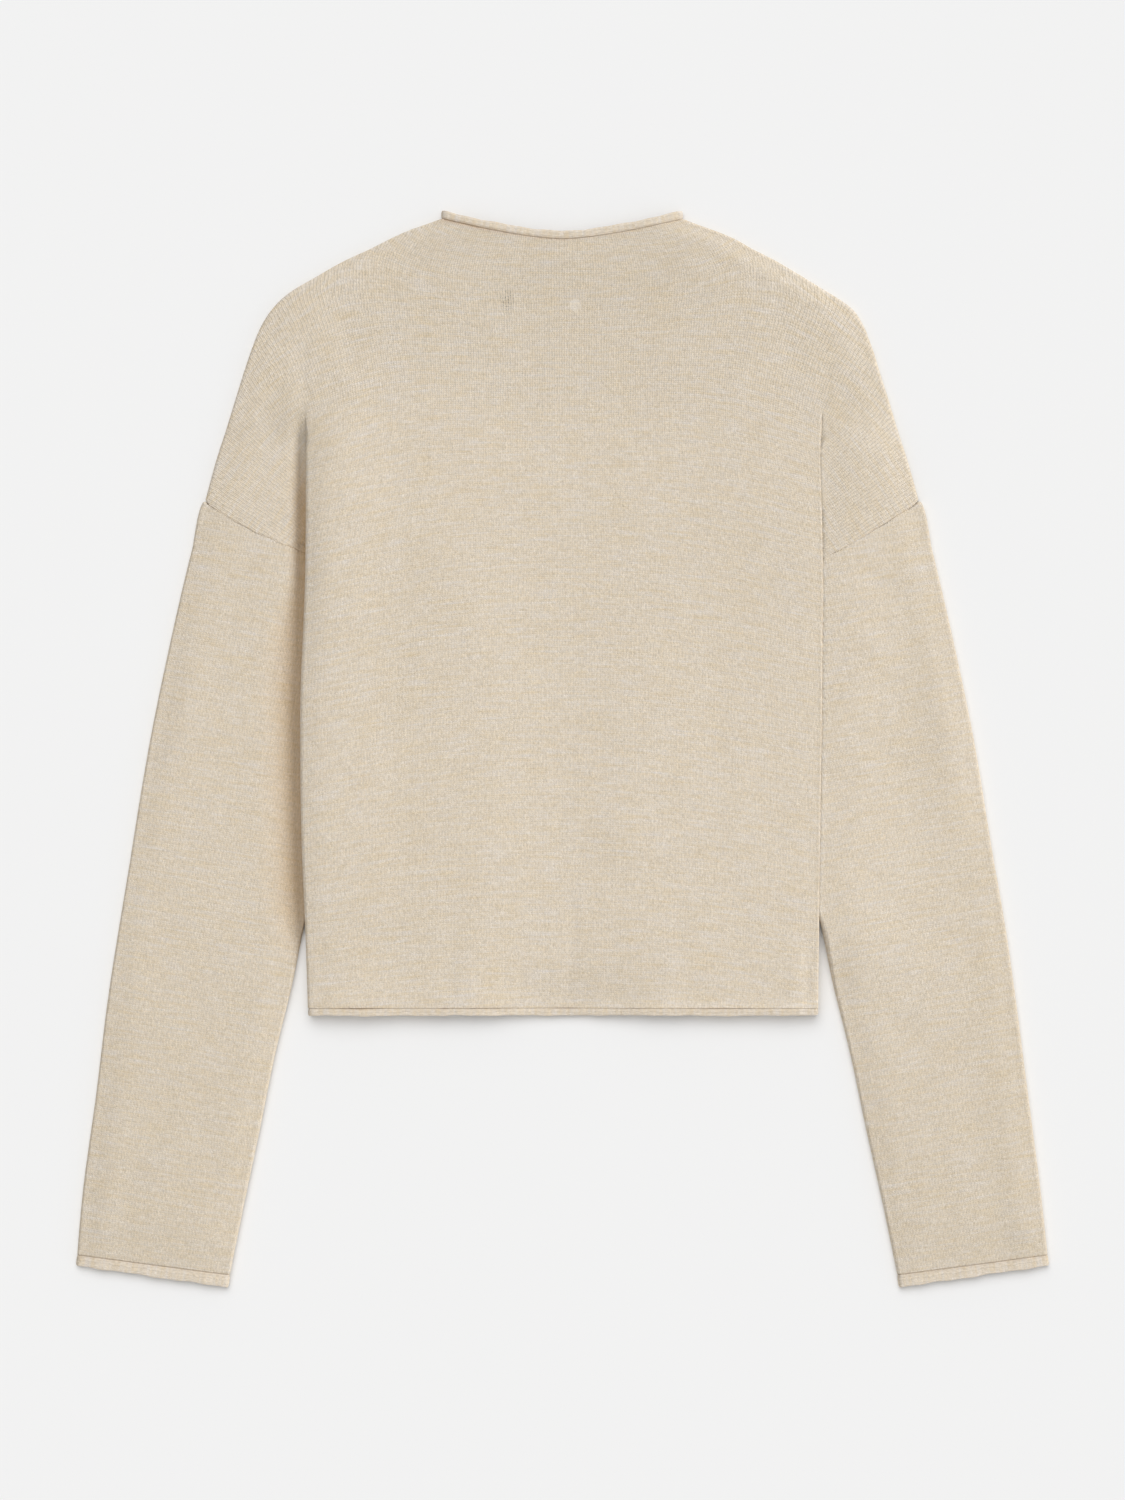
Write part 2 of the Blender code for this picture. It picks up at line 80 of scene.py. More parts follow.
# Body: folded half width, how far the pleat is turned, its depth, its layer
# spacing, and how far a section sags at the centre, back and front.
BODY_COLUMNS = ("y", "fold_l", "fold_r", "turn", "depth", "pitch", "dip_b",
                "dip_f")
BODY_ROWS = (
    (-168.0, 165.4, 166.1, 1.0, 90.0, 2.2, 0, 0),
    (-148.0, 166.0, 166.3, 1.0, 90.0, 1.9, 0, 0),
    (-116.0, 167.1, 166.7, 1.0, 90.0, 1.7, 0, 0),
    (-65.0, 169.3, 167.4, 1.0, 90.0, 1.7, 0, 0),
    (-10.0, 170.3, 168.2, 1.0, 90.0, 1.7, 0, 0),
    (35.0, 170.2, 168.8, 1.0, 90.0, 1.7, 0, 0),
    (82.0, 168.2, 169.1, 1.0, 90.0, 1.7, 0, 0),
    (87.0, 168.0, 169.2, 1.0, 89.0, 1.7, 0, 0),
    (108.0, 167.2, 169.3, 1.0, 75.0, 1.7, 0, 0),
    (127.0, 166.9, 169.1, 1.0, 61.0, 1.7, 0, 0),
    (136.0, 166.8, 169.0, 1.0, 54.0, 1.7, 0, 0),
    (145.0, 166.7, 168.8, 1.0, 47.0, 1.7, 0, 0),
    (161.5, 166.7, 168.5, 1.0, 34.0, 1.7, 0, 0),
    (180.0, 166.7, 168.0, 1.0, 18.0, 1.7, 0, 0),
    (192.0, 166.7, 168.0, 1.0, 0.8, 1.7, 0, 0),
    (201.0, 166.7, 168.2, 0.75, 0.8, 1.3, 0, 0),
    (208.0, 166.7, 168.7, 0.5, 0.8, 0.9, 0, 0),
    (216.0, 167.0, 168.7, 0.25, 0.8, 0.8, 0, 0),
    (226.0, 167.0, 168.7, 0.0, 0.8, 0.8, 0, 0),
    (272.7, 156.0, 156.0, 0.0, 0.8, 0.8, 1.5, 3.0),
    (285.7, 149.0, 149.0, 0.0, 0.8, 0.8, 3.0, 6.0),
    (298.7, 136.0, 134.0, 0.0, 0.8, 0.8, 6.0, 11.0),
    (317.0, 108.0, 106.0, 0.0, 0.8, 0.8, 10.5, 18.0),
    (337.7, 74.0, 74.0, 0.0, 0.8, 0.8, 13.6, 24.0),
    (344.8, 57.0, 56.0, 0.0, 0.8, 0.8, 13.2, 24.0),
)

# How full the folded sides lie: extra height of the fold itself, and of the
# cloth just inside it, left and right.
SIDE_COLUMNS = ("y", "plump_l", "bulge_l", "plump_r", "bulge_r")
SIDE_ROWS = (
    (-168.0, 0.4, 1.2, 0.0, 0.4),
    (-130.0, 1.1, 1.4, 0.1, 0.4),
    (-90.0, 2.2, 1.5, 0.2, 0.3),
    (0.0, 2.8, 1.6, 0.2, 0.3),
    (60.0, 3.0, 2.0, 0.2, 0.3),
    (110.0, 3.3, 2.8, 0.2, 0.3),
    (160.0, 3.0, 2.6, 0.2, 0.3),
    (195.0, 1.2, 1.6, 0.0, 0.2),
    (226.0, 0.0, 0.4, 0.0, 0.1),
    (260.0, 0.0, 0.0, 0.0, 0.0),
)

# Armhole seam: its height at each distance from the centre line.
SEAM_COLUMNS = ("u", "y_l", "y_r")
SEAM_ROWS = (
    (79.6, 85.7, 79.5),
    (125.0, 107.3, 102.0),
    (170.6, 129.0, 124.6),
    (180.0, 132.9, 129.8),
    (190.0, 137.2, 135.2),
    (200.0, 141.6, 141.2),
    (210.3, 147.0, 147.4),
    (221.0, 153.3, 154.0),
    (233.0, 161.0, 161.4),
)

# Sleeve sections from armhole seam to cuff, at the outer and inner edge.
SLEEVE_COLUMNS = ("outer_y", "inner_y", "inner_l", "inner_r")
SLEEVE_ROWS = (
    (160.2, 88.0, 86.2, 91.5),
    (133.0, 58.0, 94.5, 94.5),
    (97.0, 29.0, 110.0, 110.0),
    (52.0, -7.0, 129.5, 129.5),
    (6.0, -42.5, 144.5, 144.5),
    (-42.5, -78.0, 157.5, 157.5),
    (-91.0, -115.0, 168.0, 168.0),
    (-140.0, -153.0, 175.9, 176.1),
    (-189.0, -198.5, 187.0, 187.3),
    (-237.6, -247.3, 196.9, 197.6),
    (-286.3, -296.0, 207.2, 208.4),
    (-328.6, -341.6, 216.4, 217.8),
)
CUFF_WIDTH = (7.4, 8.4)
HEM_WIDTH = 4.8
NECK_WIDTH = 5.4

# Lean of the wales away from upright, in degrees, outwards going up, at
# distances from the centre line; "o" columns lie outside the side fold.
LEAN_COLUMNS = ("y", "t0", "t40", "t80", "t100", "t130", "t160", "o170",
                "o195", "o230")
LEAN_ROWS = (
    (-168, 0, 1, 2, 3, 5, 5, 5, 5, 5),
    (-98, 0, 1, 4, 6, 8, 8, 8, 8, 8),
    (0, 0, 3, 5, 8, 10, 10, 20, 20, 20),
    (90, 0, 3, 6, 8, 11, 11, 50, 52, 54),
    (136, 0, 3, 6, 9, 11, 12, 58, 61, 63),
    (162, 0, 2, 5, 9, 12, 13, 55, 58, 60),
    (188, 0, 1, 4, 8, 12, 14, 48, 56, 58),
    (214, 0, 0, 4, 9, 14, 22, 38, 53, 58),
    (240, 0, 0, 4, 10, 19, 22, 27, 48, 56),
    (266, 0, 0, 2, 8, 19, 28, 35, 50, 55),
    (292, 0, 0, -1, 0, 10, 32, 40, 48, 50),
    (305, 0, -3, -8, -7, 6, 34, 40, 45, 45),
    (318, 0, -9, -17, -30, -4, 20, 30, 30, 30),
    (331, 0, -10, -24, -40, -30, -10, 0, 0, 0),
    (345, 0, -10, -28, -40, -40, -30, -20, -10, 0),
)

# Soft creases and ridges of the back: a line from (x0, y0) to (x1, y1), its
# half width, its height (a trough is negative) and how it fades at its ends.
CREASE_COLUMNS = ("x0", "y0", "x1", "y1", "width", "rise", "fade")
BACK_CREASES = (
    (-71.5, -175, -70.5, -70, 6.5, -0.28, 60),     # end of the left pleat
    (-62.0, -175, -60.0, -110, 8.0, 0.16, 50),
    (77.0, -175, 77.5, -95, 7.0, -0.24, 50),       # end of the right pleat
    (69.0, -175, 68.0, -120, 8.0, 0.14, 40),
    (0.6, -70, 1.0, -10, 5.0, -0.16, 40),          # where the fronts meet
    (3.5, -175, 5.5, -95, 4.0, -0.36, 45),
    (-4.5, -175, -3.5, -120, 4.5, 0.15, 35),
    (23.0, -175, 19.5, -118, 6.0, 0.26, 30),
    (34.0, -175, 33.0, -140, 7.0, -0.12, 25),
    (158.0, -180, 161.0, -122, 4.5, -1.10, 26),    # right hem corner
    (149.0, -180, 151.0, -130, 7.0, 0.45, 26),
    (-158.0, -176, -160.0, -128, 6.0, -0.45, 30),
    (33.0, -66, 35.0, -40, 17.0, 0.50, 34),
    (-132.0, 225, -158.0, 275, 9.0, 0.50, 40),
    (-167.0, 222, -171.0, 262, 5.0, -0.65, 28),    # runs up from the fold
    (-150.0, 236, -139.0, 300, 12.0, -0.45, 40),
    (169.0, 224, 172.0, 262, 5.5, -0.45, 28),
    (152.0, 240, 138.0, 296, 12.0, -0.35, 40),
    (-100.0, 60, -104.0, 150, 16.0, 0.30, 60),
    (96.0, -20, 101.0, 120, 18.0, -0.30, 70),
    (-30.0, 120, -34.0, 220, 20.0, -0.22, 60),
    (44.0, 150, 40.0, 240, 22.0, 0.22, 60),
    (-70.0, 318, -104.0, 300, 9.0, 0.35, 24),
    (72.0, 318, 108.0, 300, 9.0, 0.35, 24),
    (-14.0, 318, 12.0, 318, 6.0, 0.30, 30),
    (115.0, -60, 118.0, 30, 12.0, 0.35, 50),
    (-118.0, -110, -120.0, 0, 13.0, 0.35, 50),
)
FRONT_CREASES = (
    (-20.0, -160, -26.0, -20, 6.0, 0.75, 60),
    (-48.0, -60, -40.0, 90, 8.0, 0.60, 60),
    (28.0, -165, 22.0, -70, 5.0, 0.85, 50),
    (46.0, -10, 38.0, 120, 9.0, 0.55, 60),
    (-30.0, 180, -60.0, 250, 9.0, 0.70, 50),
    (36.0, 170, 66.0, 244, 10.0, 0.60, 50),
    (-96.0, 236, -130.0, 282, 10.0, 0.80, 40),
    (100.0, 232, 128.0, 280, 9.0, 0.75, 40),
    (-12.0, 250, -10.0, 300, 12.0, 0.50, 40),
)
SLEEVE_CREASES = (        # in the left sleeve's own places; u is outwards
    (196.0, 118, 222.0, 96, 8.0, -0.45, 30),
    (182.0, 84, 214.0, 56, 10.0, 0.40, 34),
    (236.0, 60, 250.0, 4, 12.0, 0.35, 50),
    (196.0, 10, 226.0, -18, 9.0, -0.40, 34),
    (186.0, -70, 222.0, -96, 10.0, -0.40, 36),
    (206.0, -84, 246.0, -104, 11.0, 0.35, 36),
    (262.0, -60, 270.0, -160, 12.0, -0.28, 60),
    (200.0, -172, 236.0, -190, 9.0, -0.35, 32),
    (246.0, -210, 262.0, -300, 10.0, 0.30, 60),
    (222.0, -330, 226.0, -262, 7.0, -0.38, 40),
    (286.0, -335, 282.0, -268, 8.0, -0.30, 40),
)


# ==================================================================== helpers
def table(columns, rows):
    return {c: np.array([r[i] for r in rows], float)
            for i, c in enumerate(columns)}


def curve(xs, ys):
    """A smooth function through the points of a table."""
    xs, ys = np.asarray(xs, float), np.asarray(ys, float)
    h = np.diff(xs)
    d = np.diff(ys) / h
    m = np.concatenate([d[:1], (h[1:] * d[:-1] + h[:-1] * d[1:])
                        / (h[1:] + h[:-1]), d[-1:]])

    def f(x):
        x = np.clip(x, xs[0], xs[-1])
        k = np.clip(np.searchsorted(xs, x, side="right") - 1, 0, len(h) - 1)
        t = (x - xs[k]) / h[k]
        a, b, ma, mb = ys[k], ys[k + 1], m[k] * h[k], m[k + 1] * h[k]
        return a + t * (ma + t * ((3 * (b - a) - 2 * ma - mb)
                                  + t * (2 * (a - b) + ma + mb)))
    return f


def straight(xs, ys):
    return lambda x: np.interp(x, xs, ys)


def smooth(t):
    t = np.clip(t, 0.0, 1.0)
    return t * t * (3 - 2 * t)


def lerp(a, b, t):
    return a + (b - a) * t


_b = table(BODY_COLUMNS, BODY_ROWS)
_o = table(OUTLINE_COLUMNS, OUTLINE_ROWS)
_e = table(SEAM_COLUMNS, SEAM_ROWS)
_s = table(SLEEVE_COLUMNS, SLEEVE_ROWS)
_f = table(SIDE_COLUMNS, SIDE_ROWS)
_t = table(LEAN_COLUMNS, LEAN_ROWS)
OUT = {"l": curve(_o["y"], _o["left"]), "r": curve(_o["y"], _o["right"])}
FOLD = {s: curve(_b["y"], _b["fold_" + s]) for s in "lr"}
TURN = straight(_b["y"], _b["turn"])
DEPTH = straight(_b["y"], _b["depth"])
LAYER = straight(_b["y"], _b["pitch"])
RAMP_END = curve((-168.0, 84.0, 130.0, 160.0, 192.0, 230.0, 345.0),
                 (67.0, 67.0, 92.0, 118.0, 142.0, 150.0, 150.0))
DIP = {"back": curve(_b["y"], _b["dip_b"]), "front": curve(_b["y"], _b["dip_f"])}
PLUMP = {s: curve(_f["y"], _f["plump_" + s]) for s in "lr"}
BULGE = {s: curve(_f["y"], _f["bulge_" + s]) for s in "lr"}
SEAM_U = {s: curve(_e["y_" + s], _e["u"]) for s in "lr"}
SEAM_Y = {s: curve(_e["u"], _e["y_" + s]) for s in "lr"}
SIGN = {"l": -1.0, "r": 1.0}


def seam_y(u, side):
    """Height of the armhole seam; linked seams run slightly unevenly."""
    return (SEAM_Y[side](u) + 0.26 * np.sin(u / 2.3 + (side == "r"))
            * smooth((u - 160) / 10))


def seam_u(y, side):
    """Distance from the centre line where the seam is at height y."""
    lo, hi = 70.0, 236.0
    for _ in range(40):
        mid = (lo + hi) / 2
        if seam_y(mid, side) < y:
            lo = mid
        else:
            hi = mid
    return (lo + hi) / 2


def creases(rows, x, y):
    """Height that the creases of a table add at (x, y)."""
    total = np.zeros(np.broadcast(x, y).shape)
    for x0, y0, x1, y1, width, rise, fade in rows:
        dx, dy = x1 - x0, y1 - y0
        size = math.hypot(dx, dy)
        along = ((x - x0) * dx + (y - y0) * dy) / size
        across = ((x - x0) * dy - (y - y0) * dx) / size
        wander = 1.6 * np.sin(along / 23.0 + x0 * 0.7)
        ends = (smooth((along + fade * 0.5) / fade)
                * smooth((size + fade * 0.5 - along) / fade))
        total = total + rise * np.exp(-((across + wander) / width) ** 2) * ends
    return total


def settle(x, y, seed=0.0):
    """The slight unevenness of cloth smoothed out by hand."""
    return (0.11 * np.sin(x / 31 + y / 57 + seed)
            + 0.06 * np.sin(y / 24 - x / 83 + 1.3 + seed)
            + 0.035 * np.sin(x / 13.5 + y / 19 + 2.1 + seed)
            + 0.03 * np.sin(y / 11.7 - x / 16.3 + 0.4 + seed)
            + 0.018 * np.sin(x / 7.3 - y / 8.9 + seed * 2))


def over(u, y, side):
    """Height added to the sleeve side just outside the body's fold.

    On the left it sinks beside the full fold, on the right it lies up
    against the flat one.
    """
    gone = u - FOLD[side](y)
    here = smooth((y + 165) / 50) * (1 - smooth((y - 190) / 36))
    if side == "l":
        low = smooth((118 - y) / 60)
        reach = 8.0 + 18.0 * low * smooth((y + 150) / 60)
        return here * -lerp(3.0, 2.1, low) * smooth((gone + 0.3) / 4.3) \
            * (1 - smooth((gone - 4.0) / reach))
    return here * (3.6 * smooth((gone + 1.7) / 1.9) ** 1.2
                   * (1 - smooth((gone - 4) / 72)))


def under(u, y, side):
    """How far the under layer is held up beside the fold, 0 to 1."""
    gone = u - FOLD[side](y)
    return (1 - smooth(gone / 4.0)) * smooth((y + 172.0) / 50.0)


PUFF = 0.8


def puff(d):
    """Cloth lies a little fuller away from a pressed edge."""
    return PUFF * smooth(d / 17.0)


def edge_term(d, side):
    """Change of height at distance d inside a turned edge."""
    return puff(d) - PUFF - EDGE_FALL[side] * fallen(d)


def hill(y, side):
    """Height of the main cloth at the fold, over the end of the pleat."""
    top = MIDDLE + 2.5 * PITCH + PLUMP[side](183.0)
    return lerp(top, BACK_LOW + PUFF, smooth((y - 183.0) / 90.0))


def fallen(d):
    """0 away from a turned edge, 1 at it: cloth slopes down to its edge."""
    return 1 - smooth(d / 23.0)


def ramp(t, ends=0.25):
    """0 to 1 in an even slope with rounded ends."""
    t = np.clip(t, 0, 1)
    k = 2 * ends * (1 - ends)
    return np.where(t < ends, t * t / k,
                    np.where(t > 1 - ends, 1 - (1 - t) ** 2 / k,
                             (t - ends / 2) / (1 - ends)))


# =========================================================== the knit's grain
def lean(x, y, outside):
    """Angle of the wales from upright, in radians, + towards +x going up."""
    u = np.abs(x)
    cols_in = [0, 40, 80, 100, 130, 160]
    cols_out = [170, 195, 230]
    rows_in = np.stack([curve(_t["y"], _t["t%d" % c])(y) for c in cols_in])
    rows_out = np.stack([curve(_t["y"], _t["o%d" % c])(y) for c in cols_out])

    def at(cols, rows, u):
        k = np.clip(np.searchsorted(cols, u, side="right") - 1, 0,
                    len(cols) - 2)
        cols = np.array(cols, float)
        f = np.clip((u - cols[k]) / (cols[k + 1] - cols[k]), 0, 1)
        a = np.take_along_axis(rows, k[None], 0)[0]
        b = np.take_along_axis(rows, k[None] + 1, 0)[0]
        return a + (b - a) * smooth(f)
    whole = at(cols_in + cols_out, np.concatenate([rows_in, rows_out]), u)
    inner = at(cols_in, rows_in, u)
    outer = at(cols_out, rows_out, u)
    split = 1 - smooth((y - 196) / 40)
    value = lerp(whole, lerp(inner, outer, outside), split)
    return np.radians(value) * np.tanh(x / 6.0)


def grain(points, angle, pitch, weight, steps=420):
    """Numbers the wales and courses over a grid of points.

    The wales should run along the given angle from +Y and lie a pitch apart.
    Both numberings are the best fit of that to the whole grid.
    """
    rows, cols = points.shape[:2]
    es = np.gradient(points, axis=1)
    er = np.gradient(points, axis=0)
    es /= np.linalg.norm(es, axis=2, keepdims=True) + 1e-12
    er /= np.linalg.norm(er, axis=2, keepdims=True) + 1e-12
    n = np.cross(es, er)
    n /= np.linalg.norm(n, axis=2, keepdims=True) + 1e-12
    t = np.stack([np.sin(angle), np.cos(angle), np.zeros_like(angle)], 2)
    t = t - (t * n).sum(2, keepdims=True) * n
    t /= np.linalg.norm(t, axis=2, keepdims=True) + 1e-12
    g = np.cross(t, n)
    g *= np.sign((g * es).sum(2, keepdims=True) + 1e-9)
    vc, vr = points[:, 1:] - points[:, :-1], points[1:] - points[:-1]
    lc = np.linalg.norm(vc, axis=2) + 1e-6
    lr = np.linalg.norm(vr, axis=2) + 1e-6

    def pad(a, axis):
        """Mean size across each edge of the other direction."""
        if axis == 0:
            big = np.concatenate([a[:1], (a[1:] + a[:-1]) / 2, a[-1:]], 0)
            return (big[:, 1:] + big[:, :-1]) / 2
        big = np.concatenate([a[:, :1], (a[:, 1:] + a[:, :-1]) / 2,
                              a[:, -1:]], 1)
        return (big[1:] + big[:-1]) / 2
    wc = pad(lr, 0) / lc * (weight[:, 1:] + weight[:, :-1]) / 2
    wr = pad(lc, 1) / lr * (weight[1:] + weight[:-1]) / 2
    wc, wr = np.clip(wc, 0.002, 60), np.clip(wr, 0.002, 60)

    def mids(a, axis):
        return (a[:, 1:] + a[:, :-1]) / 2 if axis else (a[1:] + a[:-1]) / 2
    found = []
    for field, unit in ((g, pitch), (t, np.full_like(pitch, COURSE))):
        dc = (vc * mids(field, 1)).sum(2) / mids(unit, 1)
        dr = (vr * mids(field, 0)).sum(2) / mids(unit, 0)
        f = np.zeros((rows, cols))
        mid = cols // 2
        f[1:, mid] = np.cumsum(dr[:, mid])
        f[:, mid + 1:] = f[:, mid:mid + 1] + np.cumsum(dc[:, mid:], 1)
        f[:, :mid] = (f[:, mid:mid + 1]
                      - np.cumsum(dc[:, :mid][:, ::-1], 1)[:, ::-1])

        def spread(a, b):
            out = np.zeros((rows, cols))
            out[:, 1:] += a
            out[:, :-1] -= a
            out[1:] += b
            out[:-1] -= b
            return out
        diag = np.zeros((rows, cols))
        diag[:, 1:] += wc
        diag[:, :-1] += wc
        diag[1:] += wr
        diag[:-1] += wr

        def apply(v):
            return spread(wc * (v[:, 1:] - v[:, :-1]), wr * (v[1:] - v[:-1]))
        r = spread(wc * dc, wr * dr) - apply(f)
        z = r / diag
        p = z.copy()
        rz = (r * z).sum()
        for _ in range(steps):
            ap = apply(p)
            alpha = rz / max((p * ap).sum(), 1e-30)
            f += alpha * p
            r -= alpha * ap
            z = r / diag
            new = (r * z).sum()
            if new < 1e-9:
                break
            p = z + new / rz * p
            rz = new
        found.append(f - f.mean())
    return found


def wale_pitch(x, y):
    """Width of one wale: stitches sit closer over the upper back."""
    close = (smooth((y - 130) / 90) * (1 - smooth((np.abs(x) - 90) / 80)))
    return WALE - 0.52 * close


# ============================================================= shell building
def normals_of(mid, closed):
    if closed:
        es = np.roll(mid, -1, 1) - np.roll(mid, 1, 1)
    else:
        es = np.gradient(mid, axis=1)
    er = np.gradient(mid, axis=0)
    n = np.cross(es, er)
    size = np.linalg.norm(n, axis=2, keepdims=True)
    return n / np.maximum(size, 1e-12)


def shell(name, mid, half, angle, pitch, weight, marks, closed=False,
          flip=False, normals=None):
    """A thin wall round a grid of middle points, with its rims closed.

    marks holds named values for each point, kept as mesh attributes.
    """
    n = normals_of(mid, closed) if normals is None else normals
    if flip:
        n = -n
    top = mid + n * half[..., None]
    low = mid - n * half[..., None]
    rows, cols = mid.shape[:2]
    if closed:
        grid = np.concatenate([mid, mid[:, :1]], 1)
        ext = [np.concatenate([a, a[:, :1]], 1)
               for a in (angle, pitch, weight)]
        wale, course = grain(grid, *ext)
    else:
        wale, course = grain(mid, angle, pitch, weight)
    verts = np.concatenate([top.reshape(-1, 3), low.reshape(-1, 3)]) * MM
    around = cols if closed else cols - 1
    i, j = np.meshgrid(np.arange(rows - 1), np.arange(around), indexing="ij")
    i, j = i.ravel(), j.ravel()
    k = (j + 1) % cols
    base = rows * cols
    a, b = i * cols + j, i * cols + k
    c, d = (i + 1) * cols + k, (i + 1) * cols + j
    quads = [np.stack([a, b, c, d], 1), np.stack([a, d, c, b], 1) + base]
    wcols = cols + 1 if closed else cols
    ia, ib = i * wcols + j, i * wcols + j + 1
    ic, id_ = (i + 1) * wcols + j + 1, (i + 1) * wcols + j
    uvs = [np.stack([ia, ib, ic, id_], 1), np.stack([ia, id_, ic, ib], 1)]
    jj = np.arange(around)
    kk = (jj + 1) % cols
    for r, turn in ((0, 1), (rows - 1, -1)):
        q = np.stack([r * cols + kk, r * cols + jj, r * cols + jj + base,
                      r * cols + kk + base], 1)
        u = np.stack([r * wcols + jj + 1, r * wcols + jj, r * wcols + jj,
                      r * wcols + jj + 1], 1)
        quads.append(q[:, ::turn])
        uvs.append(u[:, ::turn])
    if not closed:
        ii = np.arange(rows - 1)
        for cc, turn in ((0, 1), (cols - 1, -1)):
            q = np.stack([ii * cols + cc, (ii + 1) * cols + cc,
                          (ii + 1) * cols + cc + base, ii * cols + cc + base],
                         1)
            u = np.stack([ii * wcols + cc, (ii + 1) * wcols + cc,
                          (ii + 1) * wcols + cc, ii * wcols + cc], 1)
            quads.append(q[:, ::turn])
            uvs.append(u[:, ::turn])
    quads, uvs = np.concatenate(quads), np.concatenate(uvs)
    if flip:
        quads, uvs = quads[:, ::-1], uvs[:, ::-1]
    uv = np.stack([wale.ravel(), course.ravel()], 1)[uvs.ravel()]
    values = {key: np.concatenate([v.ravel(), v.ravel()])
              for key, v in marks.items()}
    return mesh_object(name, verts, quads, uv, values)


def mesh_object(name, verts, quads, uv, values):
    mesh = bpy.data.meshes.new(name)
    mesh.vertices.add(len(verts))
    mesh.vertices.foreach_set("co", np.ascontiguousarray(verts).ravel())
    mesh.loops.add(quads.size)
    mesh.loops.foreach_set("vertex_index",
                           np.ascontiguousarray(quads).ravel().astype(np.int32))
    mesh.polygons.add(len(quads))
    mesh.polygons.foreach_set("loop_start",
                              np.arange(0, quads.size, 4, dtype=np.int32))
    mesh.update(calc_edges=True)
    layer = mesh.uv_layers.new(name="knit")
    layer.data.foreach_set("uv", np.ascontiguousarray(uv).ravel())
    for key, v in values.items():
        att = mesh.attributes.new(key, "FLOAT", "POINT")
        att.data.foreach_set("value", np.ascontiguousarray(v, dtype=float))
    mesh.validate()
    mesh.shade_smooth()
    obj = bpy.data.objects.new(name, mesh)
    bpy.context.scene.collection.objects.link(obj)
    return obj


def check_outward(obj):
    """Turns a closed shell right side out if it was built inside out."""
    bm = bmesh.new()
    bm.from_mesh(obj.data)
    if bm.calc_volume(signed=True) < 0:
        bmesh.ops.reverse_faces(bm, faces=bm.faces)
        bm.to_mesh(obj.data)
        obj.data.shade_smooth()
    bm.free()


# ================================================================= the panels
N_MAIN, N_ARC, N_STRIP, N_EXT, N_CURL = 56, 8, 8, 44, 8
N_TAIL = N_EXT + N_CURL
RIM = np.array([0.0, 0.08, 0.26, 0.6])       # rows close to a rounded rim


def fold_drop(first, second, theta, depth):
    return ((first + second) / 2 * (1 - np.cos(theta))
            + depth * np.sin(theta))


def rim_half(d):
    """Half thickness of the cloth at distance d from a rounded rim."""
    t = np.clip(d / 0.6, 0, 1)
    return HALF * (0.45 + 0.55 * np.sqrt(np.clip(1 - (1 - t) ** 2, 0, 1)))


def link_half(d):
    """The same where two panels are linked edge to edge."""
    t = np.clip(d / 0.45, 0, 1)
    return HALF * (0.88 + 0.12 * np.sqrt(np.clip(1 - (1 - t) ** 2, 0, 1)))


